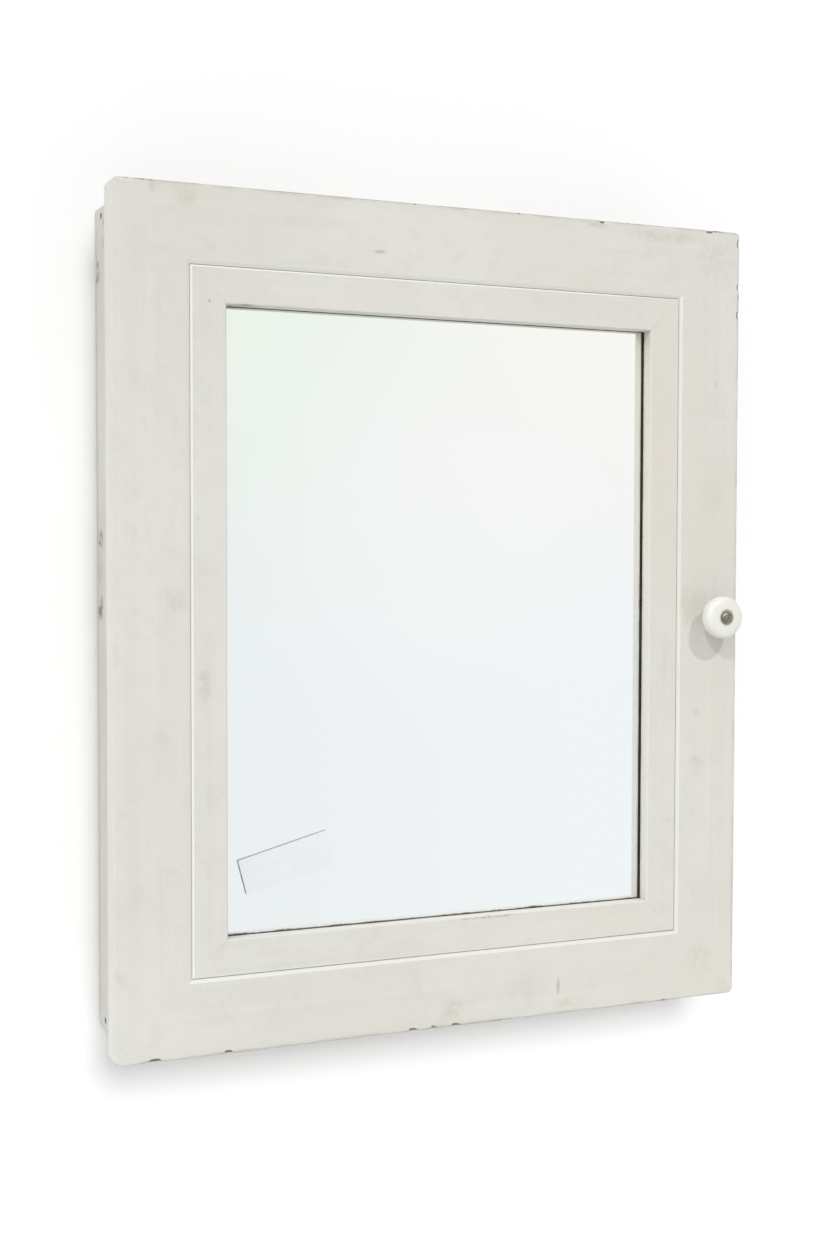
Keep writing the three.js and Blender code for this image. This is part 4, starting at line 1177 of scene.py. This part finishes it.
def make_knob():
    """A turned porcelain knob: a flared neck, a full round rim and a shallow dish for the bolt's head."""
    low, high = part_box("knob")
    middle = (low + high) / 2
    radius = (high.x - low.x) / 2
    height = high.y - low.y
    foot = NECK_RADIUS + 0.5 * MM
    rim = 0.68 * height
    profile = [(BORE_RADIUS, 0), (NECK_RADIUS + 0.2 * MM, 0), (foot, 0.3 * MM), (foot, 2.2 * MM)]
    profile += [(NECK_RADIUS + 0.1 * MM, 2.9 * MM), (NECK_RADIUS, 3.6 * MM)]
    profile += curve_points((
        (NECK_RADIUS, 0.16 * height), (NECK_RADIUS, 0.34 * height), (radius, 0.36 * height), (radius, rim),
    ), CURVE_STEPS)
    profile += curve_points((
        (radius, rim), (radius, 0.94 * height), (0.94 * radius, 0.995 * height), (DISH_RADIUS, height),
    ), CURVE_STEPS)[1:]
    profile += [
        (DISH_RADIUS - 0.3 * MM, height - 0.3 * MM), (DISH_RADIUS - 0.5 * MM, height - DISH_DEPTH),
        (BORE_RADIUS, height - DISH_DEPTH), profile[0],
    ]
    bm = turned_mesh(profile, Vector((middle.x, high.y, middle.z)), (0, -1, 0), 72)
    finish_piece(bm, "porcelain_knob", "door", "porcelain", ["knob"], 50)


def make_bolt():
    """The bolt that holds the knob, with a domed head."""
    knob_low, knob_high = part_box("knob")
    low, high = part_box("knob_bolt")
    middle = (knob_low + knob_high) / 2
    head_radius, head_height, shank, ease = 5.1 * MM, 3.0 * MM, 2.0 * MM, 0.3 * MM
    length = high.y - low.y
    under = length - head_height
    profile = [(0, 0), (shank - ease, 0), (shank, ease), (shank, under), (head_radius - ease, under)]
    profile += curve_points((
        (head_radius, under + 0.2 * MM), (head_radius, under + 0.6 * head_height),
        (0.62 * head_radius, length), (0, length),
    ), 12)
    bm = turned_mesh(profile, Vector((middle.x, high.y, middle.z)), (0, -1, 0), 40)
    finish_piece(bm, "bolt_head", "door", "bronze", ["knob_bolt"], 50)


def make_knob_fixings():
    """The washer and the nut at the bolt's other end."""
    low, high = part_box("knob_washer")
    middle = (low + high) / 2
    outer, thick, ease = (high.x - low.x) / 2, high.y - low.y, 0.2 * MM
    profile = [
        (BORE_RADIUS, 0), (outer - ease, 0), (outer, ease), (outer, thick - ease), (outer - ease, thick),
        (BORE_RADIUS, thick), (BORE_RADIUS, 0),
    ]
    bm = turned_mesh(profile, Vector((middle.x, low.y, middle.z)), (0, 1, 0), 40)
    finish_piece(bm, "washer", "door", "brass", ["knob_washer"])

    bm = cad_copy("knob_nut")
    bevel_edges(bm, sharp_edges(bm, 2 * MM), 0.35 * MM, 2)
    finish_piece(bm, "square_nut", "door", "brass", ["knob_nut"])


SCREW_HEAD = 2.8 * MM
SCREW_SHANK = 1.4 * MM
SCREW_LENGTH = 13 * MM
SCREW_CROWN = 0.12 * MM
SLOT_HALF_WIDTH = 0.4 * MM
SLOT_HALF_LENGTH = 0.93 * SCREW_HEAD
SLOT_DEPTH = 0.7 * MM
SLOT_SNAP = 1e-8


def make_screw(node, name, body, look, slot, into, slot_along):
    """A countersunk screw with a slot across its head. `into` is the way that it is driven."""
    low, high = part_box(node)
    into, slot_along = Vector(into), Vector(slot_along)
    mouth = (low + high) / 2 - into * SCREW_LENGTH / 2
    profile = [
        (0, 0), (0.6 * SCREW_HEAD, 0.02 * MM), (SCREW_HEAD - 0.25 * MM, SCREW_CROWN),
        (SCREW_HEAD, SCREW_CROWN + 0.15 * MM), (SCREW_SHANK + 0.2 * MM, 1.6 * MM), (SCREW_SHANK, 2.2 * MM),
        (SCREW_SHANK, SCREW_LENGTH - 3 * MM), (0.4 * MM, SCREW_LENGTH), (0, SCREW_LENGTH),
    ]
    bm = turned_mesh(profile, mouth, into, 32)
    cut_slot(bm, mouth, slot_along, slot_along.cross(into), into)
    finish_piece(bm, name, body, look, [node], 35)


def cut_slot(bm, mouth, along, across, into):
    """Sinks a strip across a screw's head, straight down with upright walls."""
    for sign in (-1, 1):
        for normal, offset in ((across, SLOT_HALF_WIDTH), (along, SLOT_HALF_LENGTH)):
            slice_plane(bm, mouth + normal * offset * sign, normal, SLOT_SNAP)
    floor = []
    for face in bm.faces:
        from_mouth = face.calc_center_median() - mouth
        narrow = abs(from_mouth.dot(across)) < SLOT_HALF_WIDTH
        short = abs(from_mouth.dot(along)) < SLOT_HALF_LENGTH
        if narrow and short and from_mouth.dot(into) < 0.3 * MM:
            floor.append(face)
    lifted = bmesh.ops.extrude_face_region(bm, geom=floor)
    moved = [item for item in lifted["geom"] if isinstance(item, bmesh.types.BMVert)]
    bmesh.ops.translate(bm, vec=into * SLOT_DEPTH, verts=moved)
    bmesh.ops.delete(bm, geom=floor, context="FACES")


# ------------------------------------------------------------------ case

CASE_EDGE = 60 * MM
CASE_CORNER = 2.4 * MM
CASE_RUB = 0.3 * MM
CASE_KNOCKS_LEFT = (
    (-244.5, 255.0, 5.0, 1.2),
    (-244.5, 120.0, 4.0, 1.0),
    (-244.5, 30.0, 5.0, 0.9),
    (-244.5, -24.0, 5.0, 1.1),
    (-244.5, -230.0, 4.0, 0.7),
)
CASE_KNOCKS_RIGHT = (
    (244.5, 214.0, 5.0, 0.8),
    (244.5, -60.0, 6.0, 0.7),
    (244.5, -270.0, 5.0, 1.0),
)


def make_case_board(node, axis, look, knocks=()):
    """One of the four boards of the case, worn along its arrises."""
    bm = cad_copy(node)
    low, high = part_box(node)
    bevel_edges(bm, lengthwise_edges(bm, axis, CASE_EDGE), 0.5 * MM, 2)
    half = (high[axis] - low[axis]) / 2
    slice_mesh(bm, axis, sorted(steps(-half, half, WEAR_PITCH) + near_corners(half)))
    slice_arris(bm, CASE_LOW, CASE_HIGH)
    half_x = (CASE_HIGH.x - CASE_LOW.x) / 2
    half_z = (CASE_HIGH.z - CASE_LOW.z) / 2
    round_corners(bm, half_x, half_z, CASE_CORNER)
    wear_edges(bm, CASE_LOW, CASE_HIGH, CASE_RUB, knocks)
    finish_piece(bm, f"{node}_worn", "case", look, [node])


def make_plain_board(node, name, axis, edge, look="case level"):
    """A shelf, the rail or the back: only its long edges are eased."""
    bm = cad_copy(node)
    bevel_edges(bm, lengthwise_edges(bm, axis, CASE_EDGE), edge, 3)
    finish_piece(bm, name, "case", look, [node])


def make_case():
    make_case_board("side_left", 2, "case upright", CASE_KNOCKS_LEFT)
    make_case_board("side_right", 2, "case upright", CASE_KNOCKS_RIGHT)
    make_case_board("top_board", 0, "case level")
    make_case_board("bottom_board", 0, "case level")
    make_plain_board("back_panel", "back_board", 2, 0.3 * MM, "case upright")
    make_plain_board("hanging_rail", "wall_rail", 0, 0.8 * MM)
    make_plain_board("shelf_1", "upper_shelf", 0, 1.2 * MM)
    make_plain_board("shelf_2", "lower_shelf", 0, 1.2 * MM)
    for side in ("left", "right"):
        for level in ("top", "bottom"):
            for row in ("front", "rear"):
                make_nail(f"nail_{side}_{level}_{row}", 1 if side == "left" else -1)


NAIL_HEAD = 2.2 * MM
NAIL_SHANK = 1.1 * MM


def make_nail(node, into):
    """A round-headed nail driven in from the side."""
    low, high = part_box(node)
    middle = (low + high) / 2
    length = high.x - low.x
    mouth = Vector((low.x if into > 0 else high.x, middle.y, middle.z))
    profile = [
        (0, 0), (0.5 * NAIL_HEAD, 0.08 * MM), (0.9 * NAIL_HEAD, 0.3 * MM), (NAIL_HEAD, 0.6 * MM),
        (NAIL_HEAD, 0.9 * MM), (NAIL_SHANK, 1.1 * MM), (NAIL_SHANK, length - 2 * MM),
        (0.3 * MM, length), (0, length),
    ]
    bm = turned_mesh(profile, mouth, (into, 0, 0), 24)
    finish_piece(bm, f"{node}_iron", "case", "iron", [node])


# ------------------------------------------------------------------ hinges and catch

def make_hinges():
    driven = {"case": ((0, 1, 0), (1, 0, 0)), "door": ((0, -1, 0), (0, 0, 1))}
    for level in LEVELS:
        for body in driven:
            node = f"hinge_{level}_{body}_leaf"
            finish_piece(cad_copy(node), f"{level}_{body}_leaf", body, "brass", [node], 30)
        make_pin(level)
        for row in ROWS:
            for body, directions in driven.items():
                node = f"hinge_{level}_{body}_screw_{row}"
                make_screw(node, f"{level}_{body}_screw_{row}", body, "brass", "hinge_brass", *directions)


def make_pin(level):
    """A hinge's pin, with a rounded head at both ends."""
    node = f"hinge_{level}_pin"
    low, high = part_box(node)
    middle = (low + high) / 2
    length = high.z - low.z
    head, shank, cap = (high.x - low.x) / 2, 1.3 * MM, 1.6 * MM
    end = [
        (0, 0), (0.35 * head, 0.06 * MM), (0.7 * head, 0.3 * MM), (0.93 * head, 0.8 * MM),
        (head, 1.3 * MM), (head, cap), (shank, cap),
    ]
    other = [(radius, length - distance) for radius, distance in reversed(end)]
    bm = turned_mesh(end + other, Vector((middle.x, middle.y, low.z)), (0, 0, 1), 32)
    finish_piece(bm, f"{level}_hinge_pin", "case", "brass", [node])


def make_catch():
    for node, name, body, look, slot in (
        ("catch_case", "catch_body", "case", "plastic", "brown_plastic"),
        ("catch_magnet", "magnet_bar", "case", "steel", "zinc_steel"),
        ("strike_plate", "strike", "door", "steel", "zinc_steel"),
    ):
        bm = cad_copy(node)
        bevel_edges(bm, sharp_edges(bm, 5 * MM), 0.3 * MM, 2)
        finish_piece(bm, name, body, look, [node])
    for level in LEVELS:
        node = f"catch_screw_{level}"
        make_screw(node, f"catch_fixing_{level}", "case", "steel", "zinc_steel", (1, 0, 0), (0, 1, 0))
    make_screw("strike_screw", "strike_fixing", "door", "steel", "zinc_steel", (0, -1, 0), (0, 0, 1))


# ------------------------------------------------------------------ scene

STAGE_HALF = 3.0
WALL_PLACE = Vector((0, 1.0 * MM, 1.7))
FLOOR_PLACE = Vector((0, -3.0, -1.3))
OPENING_INSET = 4 * MM


def make_stage():
    """A white wall, open behind the cabinet so that daylight reaches the cabinet's back, and a pale floor."""
    upright = Matrix.Rotation(math.radians(90), 4, "X")
    wall = stage_plane("wall", STAGE_HALF, WALL_PLACE, upright, wall_material())
    bm = bmesh.new()
    bm.from_mesh(wall.data)
    hole_x, hole_z = CASE_HIGH.x - OPENING_INSET, CASE_HIGH.z - OPENING_INSET
    slice_mesh(bm, 0, (-hole_x, hole_x))
    slice_mesh(bm, 2, (-hole_z, hole_z))
    middles = [(face, face.calc_center_median()) for face in bm.faces]
    hidden = [face for face, middle in middles if abs(middle.x) < hole_x and abs(middle.z) < hole_z]
    bmesh.ops.delete(bm, geom=hidden, context="FACES")
    bm.to_mesh(wall.data)
    bm.free()
    floor = stage_plane("floor", STAGE_HALF, FLOOR_PLACE, Matrix.Identity(4), floor_material())
    floor.visible_glossy = False
    return wall


def light_only(lamp, wall, state):
    """Makes a lamp light only the wall, or everything but the wall."""
    receivers = bpy.data.collections.new(f"{lamp.name} receivers")
    receivers.objects.link(wall)
    lamp.light_linking.receiver_collection = receivers
    receivers.collection_objects[0].light_linking.link_state = state


def make_lights(wall):
    for name, (travel, strength, softness, colour, wall_alone) in LAMPS.items():
        lamp = make_sun(name, travel, strength, softness, colour)
        light_only(lamp, wall, "INCLUDE" if wall_alone else "EXCLUDE")


bpy.context.scene.view_settings.view_transform = "Standard"
make_camera()
make_world()
make_lights(make_stage())
make_door()
make_mirror()
make_label()
make_knob()
make_bolt()
make_knob_fixings()
make_case()
make_hinges()
make_catch()
